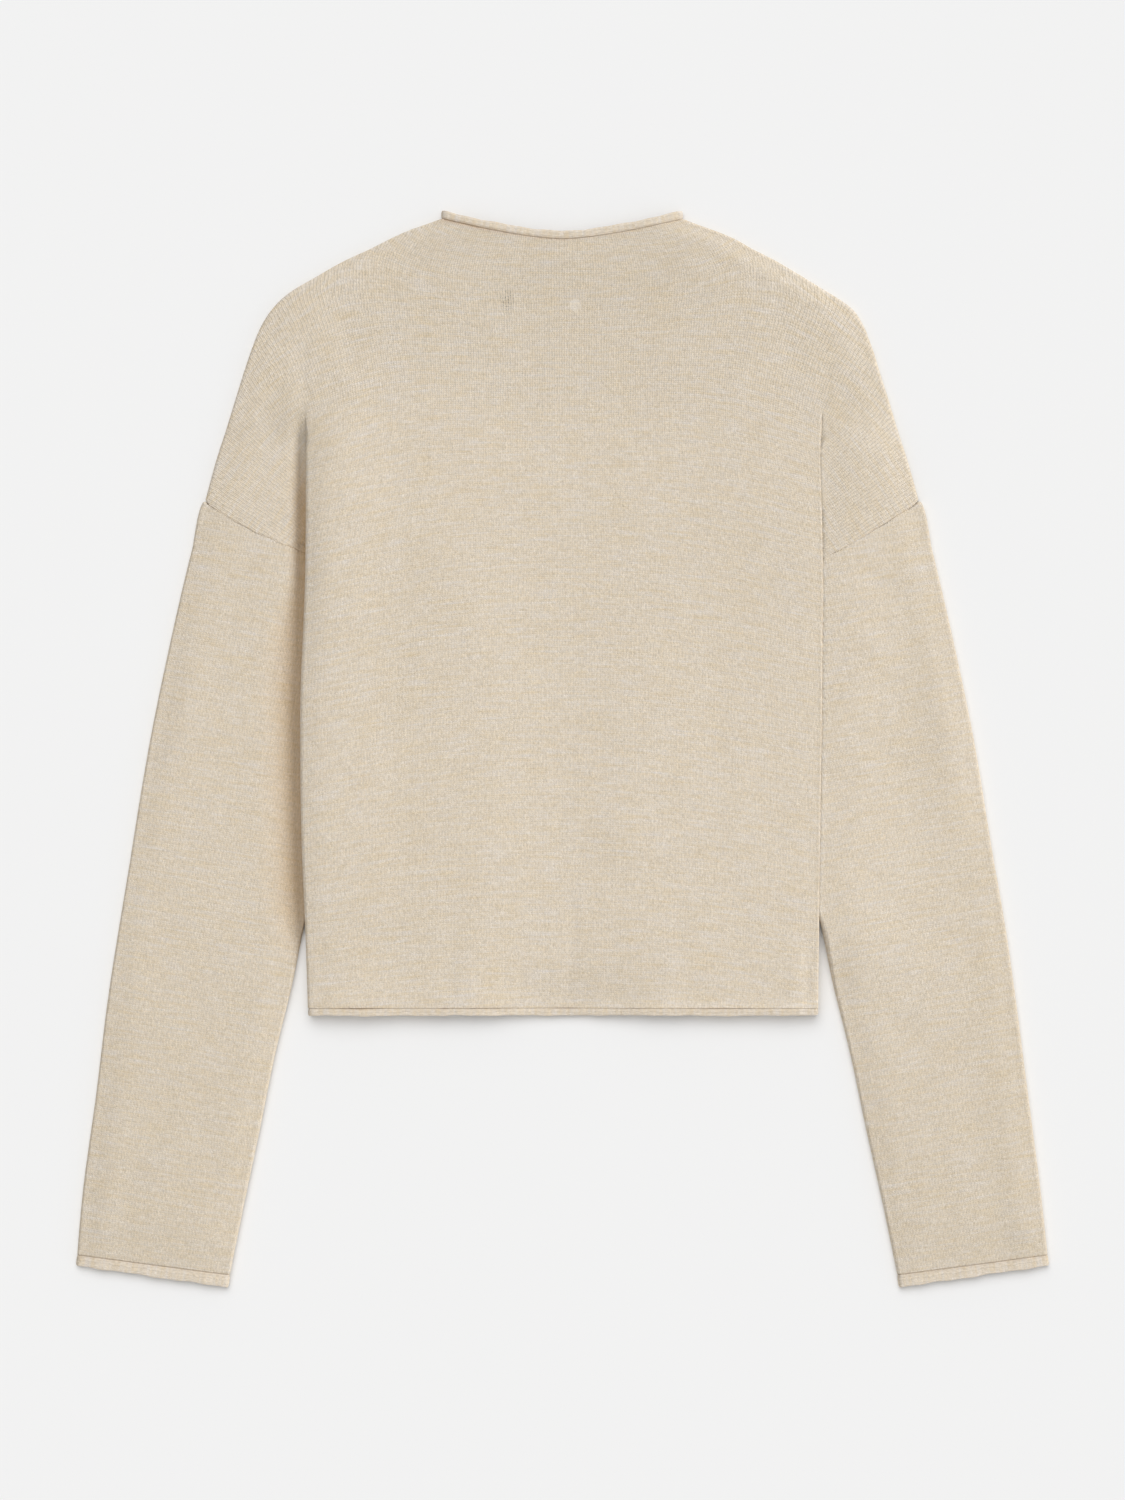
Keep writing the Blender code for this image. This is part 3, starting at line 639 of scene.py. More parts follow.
def section(y, side, face):
    """Middle line of a panel at one height, from the centre to its end."""
    up = -1.0 if face == "back" else 1.0
    fold = float(FOLD[side](y))
    theta = math.pi * float(TURN(y))
    depth, pitch = float(DEPTH(y)), float(LAYER(y))
    plump = float(PLUMP[side](y)) if face == "back" else 0.0
    first = pitch + plump * float(TURN(y))
    radius, radius2 = first / 2, pitch / 2
    start = fold - radius - HALF
    edge = fold - pitch / 2 - HALF           # where the plain fold would turn
    side_end = y < 84.5
    us, zs, part = [], [], []
    a = np.linspace(0, theta, N_ARC + 1)[1:]
    # the right fold is pressed: its upper edge is fuller than a half circle
    press = 1.0
    if face == "back" and side == "r":
        press = 1.0 - 0.5 * float(smooth((TURN(y) - 0.9) / 0.1))
    power = np.where(a < math.pi / 2, press, 1.0)
    u = start + radius * np.clip(np.sin(a), 0, 1) ** power
    z = radius * (1 - np.sign(np.cos(a)) * np.abs(np.cos(a)) ** power)
    us.append(u), zs.append(z), part.append(np.full(N_ARC, 1.0))
    run = depth + (radius - radius2)
    s = np.linspace(0, run, N_STRIP + 1)[1:]
    us.append(u[-1] + np.cos(theta) * s)
    zs.append(z[-1] + np.sin(theta) * s)
    part.append(2.0 + s / run)
    u0, z0 = us[-1][-1], zs[-1][-1]
    if side_end:
        top = MIDDLE + 2.5 * PITCH + plump if face == "back" else FRONT_LOW
        level = top
        strip = top + up * z0
        gap = abs(strip - MIDDLE) - 0.1
        r = max(0.3, min(1.65, gap - 0.3))
        a = np.linspace(theta, math.pi / 2, N_ARC + 1)[1:]
        us.append(u0 - r * (np.sin(math.pi - a)))
        zs.append(z0 + r * (1 + np.cos(a)))
        rest = np.linspace(0, gap - r, N_TAIL + 1)[1:]
        us.append(np.full(N_TAIL, us[-1][-1]))
        zs.append(zs[-1][-1] + rest)
        part += [np.full(N_ARC, 3.0), np.full(N_TAIL, 3.0)]
        extra = np.zeros(N_MAIN)
        z = np.concatenate(zs) * up + level
    else:
        a = np.linspace(theta, 0, N_ARC + 1)[1:]
        u = u0 - radius2 * (np.sin(a) - math.sin(theta))
        z = z0 + radius2 * (np.cos(a) - math.cos(theta))
        us.append(u), zs.append(z), part.append(np.full(N_ARC, 3.0))
        drop = fold_drop(first, pitch, theta, run)
        held_front = FRONT_LOW + fold_drop(pitch, pitch, theta, depth)
        out = float(OUT[side](y))
        last = out - EDGE_TURN - HALF
        stop = seam_u(y, side) if y < float(seam_y(231.0, side)) else 1e9
        ue = u[-1]
        # distances along the surface: level part, then the turned edge
        flat = last - ue
        total = flat + EDGE_TURN * math.pi / 2
        if stop < last:
            total = stop - ue
        elif stop < out:
            total = flat + EDGE_TURN * math.asin(min(1.0, (stop - last)
                                                     / EDGE_TURN))
        seam_end = stop < out
        inside = max(0.6, fold - ue)
        if seam_end:
            last_part = total - RIM[::-1] * min(1.0, total / 4)
            reach = 56.0
        else:
            last_part = np.linspace(flat, total, N_CURL)
            reach = 20.0
        n_in, n_near, span = 14, 12, 5.4
        rest = N_TAIL - len(last_part)
        d = np.linspace(0, last_part[0], rest + 2)[1:-1]
        if last_part[0] > inside + span + 1.0:
            # close steps beside the fold, where the height changes most
            packed = np.concatenate([
                np.linspace(0, inside, n_in + 1)[1:],
                inside + np.linspace(0, span, n_near + 1)[1:],
                np.linspace(inside + span, last_part[0],
                            rest - n_in - n_near + 2)[1:-1]])
            d = lerp(d, packed, float(smooth(
                (total - inside - span - 1.0) / reach)))
        d = np.concatenate([d, last_part])
        bend = np.clip(d - flat, 0, None) / EDGE_TURN
        u = np.where(d <= flat, ue + d, last + EDGE_TURN * np.sin(bend))
        fall = np.where(d <= flat, 0.0, (EDGE_TURN - 0.06)
                        * (1 - np.cos(bend)))
        if face == "back":
            held = max(BACK_LOW, held_front + PITCH)
            free = BACK_LOW + PUFF
            level = held + drop
            if y > 183:
                level = max(level, float(hill(y, side)))
            held = level - drop
        else:
            held, free = held_front, FRONT_LOW
            level = FRONT_LOW
        away = smooth((u - fold - 3.0) / FLOP) if face == "back" \
            else smooth((u - fold) / 4.0)
        ext = held + (free - held) * away
        if face == "back":
            ext = ext + over(u, y, side) + edge_term(out - u, side)
        ext = ext + up * fall
        z = np.concatenate([np.concatenate(zs) * up + level, ext])
        if face == "back":
            level = level + float(edge_term(out - start, side))
            gone_u = np.concatenate(us)
            z[:len(gone_u)] += edge_term(out - gone_u, side)
        us.append(u), part.append(np.full(N_TAIL, 4.0))
    line_u = np.concatenate(us)
    parts = np.concatenate(part)
    first_main = 0.0 if face == "back" else CENTRE_GAP
    t = np.arange(N_MAIN) / N_MAIN
    mu = first_main + (start - first_main) * (1 - (1 - t) ** 1.08)
    if face == "back":
        # from the centre up onto the pleat in one long even slope, then
        # rounded down into the fold over its last part
        begin = 0.0
        end = float(RAMP_END(y))
        rise = ramp((mu - begin) / (end - begin), 0.35)
        near = np.clip((mu - (start - 15.0)) / 15.0, 0, 1)
        edges = edge_term(float(OUT[side](y)) - mu, side)
        high = level - plump - edges[-1] \
            + plump * ramp((mu - begin) / (start - 19.0 - begin))
        middle = BACK_LOW + PUFF + 1.5 * smooth((y + 168) / 70) \
            * (1 - smooth((y - 150) / 85))
        mz = lerp(middle, high, rise) + edges \
            + float(BULGE[side](y)) * (1 - near ** 2) \
            * smooth((mu - (start - 62.0)) / 43.0)
    else:
        mz = np.full(N_MAIN, level)
    u_all = np.concatenate([[start], line_u])
    z_all = np.concatenate([[level], z])
    p_all = np.concatenate([[0.5], parts])
    u_all = np.concatenate([mu, u_all])
    z_all = np.concatenate([mz, z_all])
    p_all = np.concatenate([np.zeros(N_MAIN), p_all])
    u_all, z_all = even_out(u_all, z_all, smooth((y - 193.0) / 18.0))
    dip = float(DIP[face](y))
    end = u_all.max()
    yy = y - dip * (1 - (u_all / end) ** 1.5)
    return u_all, yy, z_all, p_all


def even_out(u, z, amount):
    """Spreads a section's points evenly where its fold opens up."""
    if amount <= 0:
        return u, z
    s = np.concatenate([[0], np.cumsum(np.hypot(np.diff(u), np.diff(z)))])
    i1, i4 = N_MAIN, N_MAIN + 2 * N_ARC + N_STRIP
    mid = (s[i1] + s[i4]) / 2
    reach = max((s[i4] - s[i1]) / 2, 10.0)
    lo, hi = mid - reach, mid + reach
    even = np.concatenate([
        np.linspace(0, lo, i1 + 1), np.linspace(lo, hi, i4 - i1 + 1)[1:],
        (hi + (s[i4:] - s[i4]) * (s[-1] - hi) / (s[-1] - s[i4]))[1:]])
    places = lerp(s, even, amount)
    return np.interp(places, s, u), np.interp(places, s, z)


def body_heights():
    ends = (-168.0 + 2.0, 344.8 - 2.0)
    y = np.linspace(*ends, 2000)
    # close steps where the armhole seams pass the folds
    gap = 3.5 - 2.3 * smooth((y - 112) / 8) * (1 - smooth((y - 142) / 8)) \
        - 1.1 * smooth((y - 170) / 20)
    count = np.concatenate([[0], np.cumsum(1 / gap[1:])])
    main = np.interp(np.linspace(0, count[-1], 176), count, y)
    return np.concatenate([-168.0 + RIM, main, (344.8 - RIM)[::-1]])


def panel_half(side, face, ys):
    lines = [section(y, side, face) for y in ys]
    u = np.stack([a[0] for a in lines])
    y = np.stack([a[1] for a in lines])
    z = np.stack([a[2] for a in lines])
    p = np.stack([a[3] for a in lines])
    half = np.full(u.shape, HALF)
    half = np.minimum(half, link_half(ys - ys[0])[:, None])
    half = np.minimum(half, rim_half(ys[-1] - ys)[:, None])
    # rounded rim along the armhole seam
    for i, row in enumerate(ys):
        if 84.5 <= row < float(seam_y(231.0, side)):
            left = u[i, -1] - u[i, -4:]
            half[i, -4:] = np.minimum(half[i, -4:], link_half(left))
    return u, y, z, p, half


def side_marks(u, y, p, side, ys):
    """Where the grooves at the armhole seams fall, for painted shade in the
    colour.
    """
    seam = np.zeros_like(u)
    rows = (ys >= 84.5) & (ys < float(seam_y(231.0, side)))
    gone = u[:, -1:] - u
    seam[rows] = np.where(p[rows] > 3.5, np.exp(-gone[rows] / 0.5), 0.0)
    return seam


def painted_fold_shade_at(x, y):
    """Where painted warm shade darkens the cloth lying deep beside the left
    fold.
    """
    gone = -x - FOLD["l"](y)
    low = smooth((118 - y) / 60)
    wide = 6.5 + 9.5 * low
    here = smooth((y + 150) / 55) * (1 - smooth((y - 150) / 55))
    return np.where(x < 0, here, 0.0) * np.exp(
        -(np.clip(gone - 1.0, 0, None) / wide) ** 2) * (gone > -4) \
        * lerp(1.0, 0.8, low)


def tone_at(x, y):
    """Where the cloth reads a little darker: round the neck's middle."""
    return 0.45 * np.exp(-((x - 22) / 62) ** 4 - ((y - 304) / 20) ** 2) \
        + 0.15 * smooth((y - 230) / 60)


def neck_shade(x):
    """The groove under the neck roll and its painted shade: deep on the left,
    faint on the right.
    """
    return (0.30 + 0.55 * (1 - smooth((x + 70) / 62))
            + 0.22 * np.exp(-((x + 8) / 16) ** 2))


def painted_light_at(x, y):
    """Painted light that lifts the shade in the groove along the right fold."""
    gone = x - FOLD["r"](y)
    here = smooth((y + 164) / 30) * (1 - smooth((y - 112) / 40))
    return here * smooth((gone + 1.0) / 0.6) \
        * np.exp(-((gone - 0.3) / 1.3) ** 2)


def painted_shade_at(x, y, out):
    """Painted shade that darkens the edges facing the light, the ridge of the
    right fold and a few broad patches.
    """
    gone = x - FOLD["r"](y)
    here = smooth((y + 160) / 40) * (1 - smooth((y - 190) / 30))
    ridge = here * np.exp(-((gone + 1.9) / 1.2) ** 2)
    near = np.clip(out, 0, None)
    edge = (x > 0) * (0.7 * np.exp(-(near / 1.6) ** 2)
                      + 0.9 * np.exp(-(near / 26.0) ** 2)
                      * smooth((-20 - y) / 60))
    broad = 0.45 * np.exp(-((x + 98) / 50) ** 2) * smooth((225 - y) / 60) \
        * smooth((y + 170) / 50)
    broad = broad + 0.9 * np.exp(-((x + 160) / 13) ** 2
                                 - ((y - 208) / 42) ** 2)
    broad = broad + 0.8 * np.exp(-((x - 188) / 20) ** 2
                                 - ((y - 228) / 24) ** 2)
    broad = broad + 0.6 * np.exp(-((x - 236) / 26) ** 2) \
        * smooth((200 - y) / 60) * smooth((y + 70) / 60)
    return np.maximum(ridge, edge) + broad


def clear_at(x, y):
    """How crisply the wales show: crisp at the neck and drop shoulders."""
    top = smooth((y - 175) / 90)
    shoulder = smooth((np.abs(x) - 168) / 10) * smooth((y - 118) / 30)
    middle = 0.16 * smooth((y + 40) / 200)
    return np.clip(0.30 + middle + 0.70 * np.maximum(top, shoulder * 0.75), 0, 1)


def relief(face, x, y, z, p):
    """Adds the creases to the part of a panel that lies open."""
    main = np.clip(1 - p * 2, 0, 1)
    if face == "back":
        out = (p >= 4).astype(float)
        fold = np.where(x < 0, FOLD["l"](y), FOLD["r"](y))
        outline = np.where(x < 0, OUT["l"](y), OUT["r"](y))
        folded = 1 - smooth((y - 196) / 46)
        keep_main = main * smooth((fold - 2.5 - np.abs(x)) / 9.0)
        keep_out = out * smooth((np.abs(x) - fold - 5) / 12)
        keep = lerp(1.0, np.maximum(keep_main, keep_out), folded)
        keep = keep * smooth((outline - np.abs(x) - 3.0) / 10)
        add = creases(BACK_CREASES, x, y) + settle(x, y)
        sink = (1 - smooth((y + 168) / 34)) * (1 - smooth(
            (np.abs(x) - 8) / 62))
        return z + add * keep - 2.3 * sink * keep
    keep = main * smooth((150 - np.abs(x)) / 20)
    under = 1 - 0.55 * smooth((np.abs(x) - 62) / 12) * smooth((200 - y) / 20)
    add = creases(FRONT_CREASES, x, y) + 0.5 * np.abs(settle(x, y, 1.7))
    return z + np.clip(add, 0, 0.95) * keep * under


def hem_shade(x):
    """Stretches where the back hem's roll stands away from the cloth, with
    painted shade in the groove there.
    """
    return np.maximum.reduce([
        np.exp(-((x + 132) / 14) ** 2), 0.9 * np.exp(-((x + 77) / 3) ** 2),
        0.45 * np.exp(-((x + 54) / 18) ** 2),
        0.6 * np.exp(-((x - 2) / 10) ** 2),
        0.25 * np.exp(-((x - 46) / 6) ** 2),
        0.55 * np.exp(-((x - 103) / 20) ** 2)])


def build_back():
    ys = body_heights()
    data = {s: panel_half(s, "back", ys) for s in "lr"}
    joined = []
    for k in range(5):
        left, right = data["l"][k], data["r"][k]
        if k == 0:
            left = -left
        joined.append(np.concatenate([left[:, :0:-1], right], 1))
    x, y, z, p, half = joined
    z = relief("back", x, y, z, p)
    mid = np.stack([x, y, z], 2)
    outside = np.clip((p - 1.5) / 1.5, 0, 1)
    angle = lean(x, y, outside)
    weight = np.where((p >= 1.5) & (p < 3.5) & (TURN(y) > 0.6), 0.05, 1.0)
    seam = np.concatenate(
        [side_marks(data["l"][0], data["l"][1], data["l"][3], "l", ys)
         [:, :0:-1],
         side_marks(data["r"][0], data["r"][1], data["r"][3], "r", ys)], 1)
    marks = {"clear": clear_at(x, y), "seam": seam,
             "deep": painted_fold_shade_at(x, y) * (p > 3.5),
             "tone": tone_at(x, y) + painted_shade_at(x, y, OUT["r"](y) - x),
             # pale: painted light in the right fold's groove and just above the
             # back hem
             "pale": painted_light_at(x, y) + 0.28 * smooth(x / 30)
             * np.exp(-((ys - ys[0]) / 5.0) ** 2)[:, None],
             "neck": np.exp(-(ys[-1] - ys) / 0.6)[:, None] * neck_shade(x),
             "hem": np.exp(-(ys - ys[0]) / 0.5)[:, None]
             * (0.15 + 1.3 * hem_shade(x))}
    obj = shell("back_panel", mid, half, angle, wale_pitch(x, y), weight,
                marks)
    check_outward(obj)
    return obj


def build_front(side, name):
    ys = body_heights()
    u, y, z, p, half = panel_half(side, "front", ys)
    gone = u - u[:, :1]
    half = np.minimum(half, rim_half(gone + 0.0))
    x = SIGN[side] * u
    z = relief("front", x, y, z, p)
    mid = np.stack([x, y, z], 2)
    outside = np.clip((p - 1.5) / 1.5, 0, 1)
    angle = lean(x, y, outside)
    weight = np.where((p >= 1.5) & (p < 3.5) & (TURN(y) > 0.6), 0.05, 1.0)
    marks = {"clear": clear_at(x, y), "seam": side_marks(u, y, p, side, ys),
             "deep": np.zeros_like(x),
             "tone": tone_at(x, y) + painted_shade_at(x, y, OUT["r"](y) - x),
             "pale": painted_light_at(x, y),
             "neck": np.exp(-(ys[-1] - ys) / 0.6)[:, None] * neck_shade(x),
             "hem": np.exp(-(ys - ys[0]) / 0.5)[:, None] * np.ones_like(x)}
    obj = shell(name, mid, half, angle, wale_pitch(x, y), weight, marks)
    check_outward(obj)
    return obj


# ================================================================ the sleeves
def pocket(u, y, side, flop=FLOP):
    beyond = smooth((u - FOLD[side](y) - 3.0) / flop)
    return (1 - beyond) * smooth((y + 172.0) / 50.0)


N_TOP, N_EDGE = 82, 7


def sleeve_ring(t, side, offset, top_free=BACK_LOW, low_free=FRONT_LOW,
                pad=HALF):
    """Closed middle line of the flattened sleeve at table place t."""
    k = np.arange(len(SLEEVE_ROWS))
    last = k[-1]
    oy = float(curve(k, _s["outer_y"])(t))
    iy = float(curve(k, _s["inner_y"])(t))
    iu = float(curve(k, _s["inner_" + side])(t))
    ou = float(OUT[side](oy))
    width = math.hypot(iu - ou, iy - oy)

    def at(s):
        """Place on the section, s from its outer end."""
        u = ou + (iu - ou) * s / width
        y = oy + (iy - oy) * s / width
        near = max(0.0, 1 - t)
        if near > 0:
            seam = seam_y(np.minimum(u, 233.0), side) - SEAM_GAP * 1.12
            y = lerp(y, seam, near ** 1.0)
        return u, y - offset

    def levels(s):
        u, y = at(s)
        held = pocket(u, y, side)
        free_in = smooth((-100.0 - y) / 40)
        d_out = OUT[side](y) - u
        d_in = width - s
        cuff = fallen((last - t) * 29.0 + 2.0)
        full = puff(d_out) * lerp(1.0, puff(d_in) / PUFF, free_in)
        fall = np.maximum(
            np.maximum(EDGE_FALL[side] * fallen(d_out),
                       EDGE_FALL["r" if side == "l" else "l"] * fallen(d_in)
                       * free_in), 1.5 * cuff)
        top = lerp(top_free + full, MIDDLE + PITCH / 2, held) \
            + over(u, y, side) - fall * (1 - held)
        low = lerp(low_free, MIDDLE - PITCH / 2, under(u, y, side))
        open_ = (1 - held) * smooth((s - 6) / 14) \
            * smooth((width - s - 6) / 14)
        top = top + (creases(SLEEVE_CREASES, u, y)
                     + settle(SIGN[side] * u, y, 3.1)) * open_
        low = low + np.clip(0.6 * creases(SLEEVE_CREASES, u + 9, y + 14), 0,
                            0.6) * open_
        return np.maximum(top, low + WALL + 0.25), low

    t0, b0 = (float(v) for v in levels(np.array(0.0)))
    t1, b1 = (float(v) for v in levels(np.array(width)))
    r0, r1 = (t0 - b0) / 3.6, (t1 - b1) / 3.6
    s0, s1 = pad + r0, width - pad - r1
    q = (1 - np.cos(np.linspace(0, math.pi, N_TOP))) / 2
    stops = s1 + (s0 - s1) * lerp(np.linspace(0, 1, N_TOP), q, 0.35)
    top, low = levels(stops)
    top0, low0 = top[-1], low[-1]
    top1, low1 = top[0], low[0]
    a = np.linspace(0, math.pi, N_EDGE + 2)[1:-1]
    h0, c0 = (top0 - low0) / 2, (top0 + low0) / 2
    h1, c1 = (top1 - low1) / 2, (top1 + low1) / 2
    s_all = np.concatenate([
        s1 + r1 * np.sin(a[::-1][(N_EDGE // 2):]), stops,
        s0 - r0 * np.sin(a), stops[::-1],
        s1 + r1 * np.sin(a[::-1][:(N_EDGE // 2)])])
    z_all = np.concatenate([
        c1 + h1 * np.cos(a[::-1][(N_EDGE // 2):]), top,
        c0 + h0 * np.cos(a), low[::-1],
        c1 + h1 * np.cos(a[::-1][:(N_EDGE // 2)])])
    u, y = at(s_all)
    return u, y, z_all, width, s_all


def build_sleeve(side, name):
    count = 176
    last = len(SLEEVE_ROWS) - 1
    places = [(0.0, RIM[0]), (0.0, RIM[1]), (0.0, RIM[2]), (0.0, RIM[3])]
    places += [(last * (0.006 + 0.9925 * k / (count - 1)), 0.0)
               for k in range(count)]
    places += [(float(last), -r) for r in RIM[::-1]]
    us, ys, zs, ws = [], [], [], []
    for t, offset in places:
        u, y, z, width, s = sleeve_ring(t, side, offset)
        us.append(u), ys.append(y), zs.append(z)
    u, y, z = np.stack(us), np.stack(ys), np.stack(zs)
    x = SIGN[side] * u
    mid = np.stack([x, y, z], 2)
    rows = len(places)
    half = np.full(u.shape, HALF)
    half[:4] = link_half(RIM)[:, None]
    half[-4:] = rim_half(RIM[::-1])[:, None]
    angle = np.full(u.shape, math.radians(9.0)) * SIGN[side] * -1.0
    seam = np.zeros(rows)
    seam[:4] = np.exp(-RIM / 0.5)
    hem = np.zeros(rows)
    hem[-4:] = np.exp(-RIM[::-1] / 0.5)
    ones = np.ones_like(u)
    marks = {"clear": (0.40 + 0.12 * smooth((y - 20) / 100)) * ones,
             "seam": seam[:, None] * ones, "neck": 0 * ones,
             "deep": painted_fold_shade_at(x, y) * (z > 2.6),
             "tone": (0.32 + 0.42 * smooth((-60 - y) / 220) if side == "l"
                      else 0.50 * smooth((-100 - y) / 220)) * ones
             + painted_shade_at(x, y, OUT["r"](y) - x) * (side == "r"),
             "pale": painted_light_at(x, y) * (z > 2.6),
             "hem": hem[:, None] * ones}
    obj = shell(name, mid, half, angle, WALE * ones, ones, marks, closed=True)
    check_outward(obj)
    return obj


# ============================================================= rolled edges
def roll(name, path, normal, away, near, width, thick, closed=False,
         wander=0.0, line=0.0, shade=0.5):
    """A rolled edge: a full, slightly uneven roll along a path.

    near and width place it along away; thick is its size along normal.
    """
    count = len(path)
    steps = np.linalg.norm(np.diff(path, axis=0), axis=1)
    along = np.concatenate([[0], np.cumsum(steps)])
    a = np.linspace(0, 2 * math.pi, 23)[:-1]
    ca, sa = np.cos(a), np.sin(a)
    across = np.sign(ca) * np.abs(ca) ** 0.72
    high = np.sign(sa) * np.abs(sa) ** 0.80
    near = np.broadcast_to(near, (count,))
    width = np.broadcast_to(width, (count,)) \
        * (1 + 0.035 * np.sin(along / 6.1 + 0.6) + 0.03
           * np.sin(along / 2.7 + 2.0))
    thick = np.broadcast_to(thick, (count,)) \
        * (1 + 0.05 * np.sin(along / 8.3) + 0.03 * np.sin(along / 3.4 + 1.0))
    offset = near[:, None] + width[:, None] * (1 + across[None]) / 2 \
        + wander * np.sin(along / 17.0)[:, None] \
        * (1 + across[None]) / 2
    rings = path[:, None] + away[:, None] * offset[..., None] \
        + normal[:, None] * (thick[:, None] / 2 * high[None])[..., None]
    cols = len(a)
    verts = rings.reshape(-1, 3) * MM
    around = count if closed else count - 1
    i, j = np.meshgrid(np.arange(around), np.arange(cols), indexing="ij")
    i, j = i.ravel(), j.ravel()
    i2, j2 = (i + 1) % count, (j + 1) % cols
    quads = np.stack([i * cols + j, i * cols + j2, i2 * cols + j2,
                      i2 * cols + j], 1)
    full = np.concatenate([along, [along[-1] + np.linalg.norm(
        path[0] - path[-1])]])
    size = 2 * (np.mean(width) + np.mean(thick)) * 0.82
    wale = full / WALE
    course = np.arange(cols + 1) / cols * size / COURSE
    uv = np.stack([np.stack([course[j], wale[i]], 1),
                   np.stack([course[j + 1], wale[i]], 1),
                   np.stack([course[j + 1], wale[i + 1]], 1),
                   np.stack([course[j], wale[i + 1]], 1)], 1).reshape(-1, 2)
    # painted shade in the groove where the roll meets the cloth, passed on as
    # the neck and hem attributes
    groove = np.clip(-across, 0, 1) ** 3
    # painted light on the roll's outer side, lifting the shade on its underside
    painted_edge_light = np.clip(across, 0, 1) ** 2
    shade = np.broadcast_to(shade, (count,))
    painted_groove_shade = (shade[:, None] * groove[None]).ravel()
    values = {"clear": np.full(count * cols, 0.42),
              "seam": np.zeros(count * cols),
              "deep": np.zeros(count * cols),
              "painted_edge_light": np.tile(painted_edge_light, count),
              "neck": painted_groove_shade * line, "hem": painted_groove_shade * (1 - line)}
    obj = mesh_object(name, verts, quads, uv, values)
    if not closed:
        bm = bmesh.new()
        bm.from_mesh(obj.data)
        bm.verts.ensure_lookup_table()
        layer = bm.loops.layers.uv["knit"]
        ends = [(row, [bm.verts[row * cols + j] for j in range(cols)])
                for row in (0, count - 1)]
        for row, ring in ends:
            centre = sum((v.co for v in ring), ring[0].co * 0) / cols
            inner = [bm.verts.new(v.co.lerp(centre, 0.5)) for v in ring]
            mid = bm.verts.new(centre)
            faces = []
            for j in range(cols):
                k = (j + 1) % cols
                faces.append(bm.faces.new((ring[j], ring[k], inner[k],
                                           inner[j])))
                faces.append(bm.faces.new((inner[j], inner[k], mid)))
            for face in faces:
                face.smooth = True
                for loop in face.loops:
                    loop[layer].uv = (0.5, wale[row])
        bmesh.ops.recalc_face_normals(bm, faces=bm.faces)
        bm.to_mesh(obj.data)
        bm.free()
    check_outward(obj)
    return obj


def resample(points, extras, step):
    """Even spacing along a path, carrying other columns with it."""
    d = np.concatenate([[0], np.cumsum(np.linalg.norm(
        np.diff(points, axis=0), axis=1))])
    count = max(8, int(d[-1] / step) + 1)
    s = np.linspace(0, d[-1], count)
    pts = np.stack([np.interp(s, d, points[:, k]) for k in range(3)], 1)
    out = []
    for e in extras:
        e = np.asarray(e)
        if e.ndim == 1:
            out.append(np.interp(s, d, e))
        else:
            out.append(np.stack([np.interp(s, d, e[:, k])
                                 for k in range(e.shape[1])], 1))
    return pts, out


def unit(v):
    return v / np.maximum(np.linalg.norm(v, axis=1, keepdims=True), 1e-9)


def hem_line(side, face):
    """The section of the panel at the hem, without its side seam."""
    u, y, z, p = section(-168.0, side, face)
    keep = p < 2.97
    u, y, z, p = u[keep], y[keep], z[keep], p[keep]
    x = SIGN[side] * u
    z = relief(face, x, y + 1.5, z, p)
    return np.stack([x, y, z], 1)


def line_normals(line, up):
    """Normals in the section's own upright plane, right side out."""
    t = np.gradient(line, axis=0)
    n = np.stack([-t[:, 2], np.zeros(len(t)), t[:, 0]], 1)
    n = unit(n)
    return n * up


def build_hems():
    made = []
    left, right = hem_line("l", "back"), hem_line("r", "back")
    path = np.concatenate([left[:0:-1], right])
    path, _ = resample(path, [], 1.6)
    n = line_normals(path, 1.0)
    x = path[:, 0]
    # the roll stands a little away from the cloth over some stretches
    shade = hem_shade(x)
    near = 0.02 + 0.26 * shade
    away = np.tile([0.0, -1.0, 0.0], (len(path), 1))
    obj = roll("back_hem_roll", path, n, away, near, HEM_WIDTH, 1.9,
               wander=0.12, shade=shade)
    made.append(obj)
    for side, name in (("l", "front_left_hem_roll"),
                       ("r", "front_right_hem_roll")):
        line = hem_line(side, "front")
        path, _ = resample(line, [], 1.8)
        n = line_normals(path, 1.0) * -SIGN[side]
        flat = (np.abs(path[:, 0]) < 160) & (path[:, 2] < 1.0)
        path = path + n * -0.46 + np.array([0, 0, 0.06])
        away = np.tile([0.0, -1.0, 0.0], (len(path), 1))
        made.append(roll(name, path, n, away, 0.12, HEM_WIDTH, 2.3,
                         wander=0.1))
    return made


def build_cuff(side, name):
    last = float(len(SLEEVE_ROWS) - 1)
    u, y, z, width, s = sleeve_ring(last, side, 0.0, BACK_LOW,
                                    FRONT_LOW + 0.45)
    x = SIGN[side] * u
    path = np.stack([x, y, z], 1)
    path = np.concatenate([path, path[:1]])
    s = np.concatenate([s, s[:1]])
    path, (s,) = resample(path, [s], 1.5)
    path, s = path[:-1], s[:-1]
    t = unit(np.roll(path, -1, 0) - np.roll(path, 1, 0))
    across = np.array([SIGN[side] * (u[N_EDGE // 2 + 1] - u[N_EDGE // 2 + 40]),
                       y[N_EDGE // 2 + 1] - y[N_EDGE // 2 + 40], 0.0])
    across /= np.linalg.norm(across)
    down = np.array([across[1], -across[0], 0.0])
    if down[1] > 0:
        down = -down
    away = np.tile(down, (len(path), 1))
    n = unit(np.cross(t, away))
    centre = path.mean(0)
    if ((path - centre) * n).sum() < 0:
        n = -n
    deep = lerp(CUFF_WIDTH[0], CUFF_WIDTH[1], np.clip(s / width, 0, 1))
    return roll(name, path, n, away, 0.02, deep - 0.2, 1.9, closed=True,
                wander=0.15, shade=0.35)


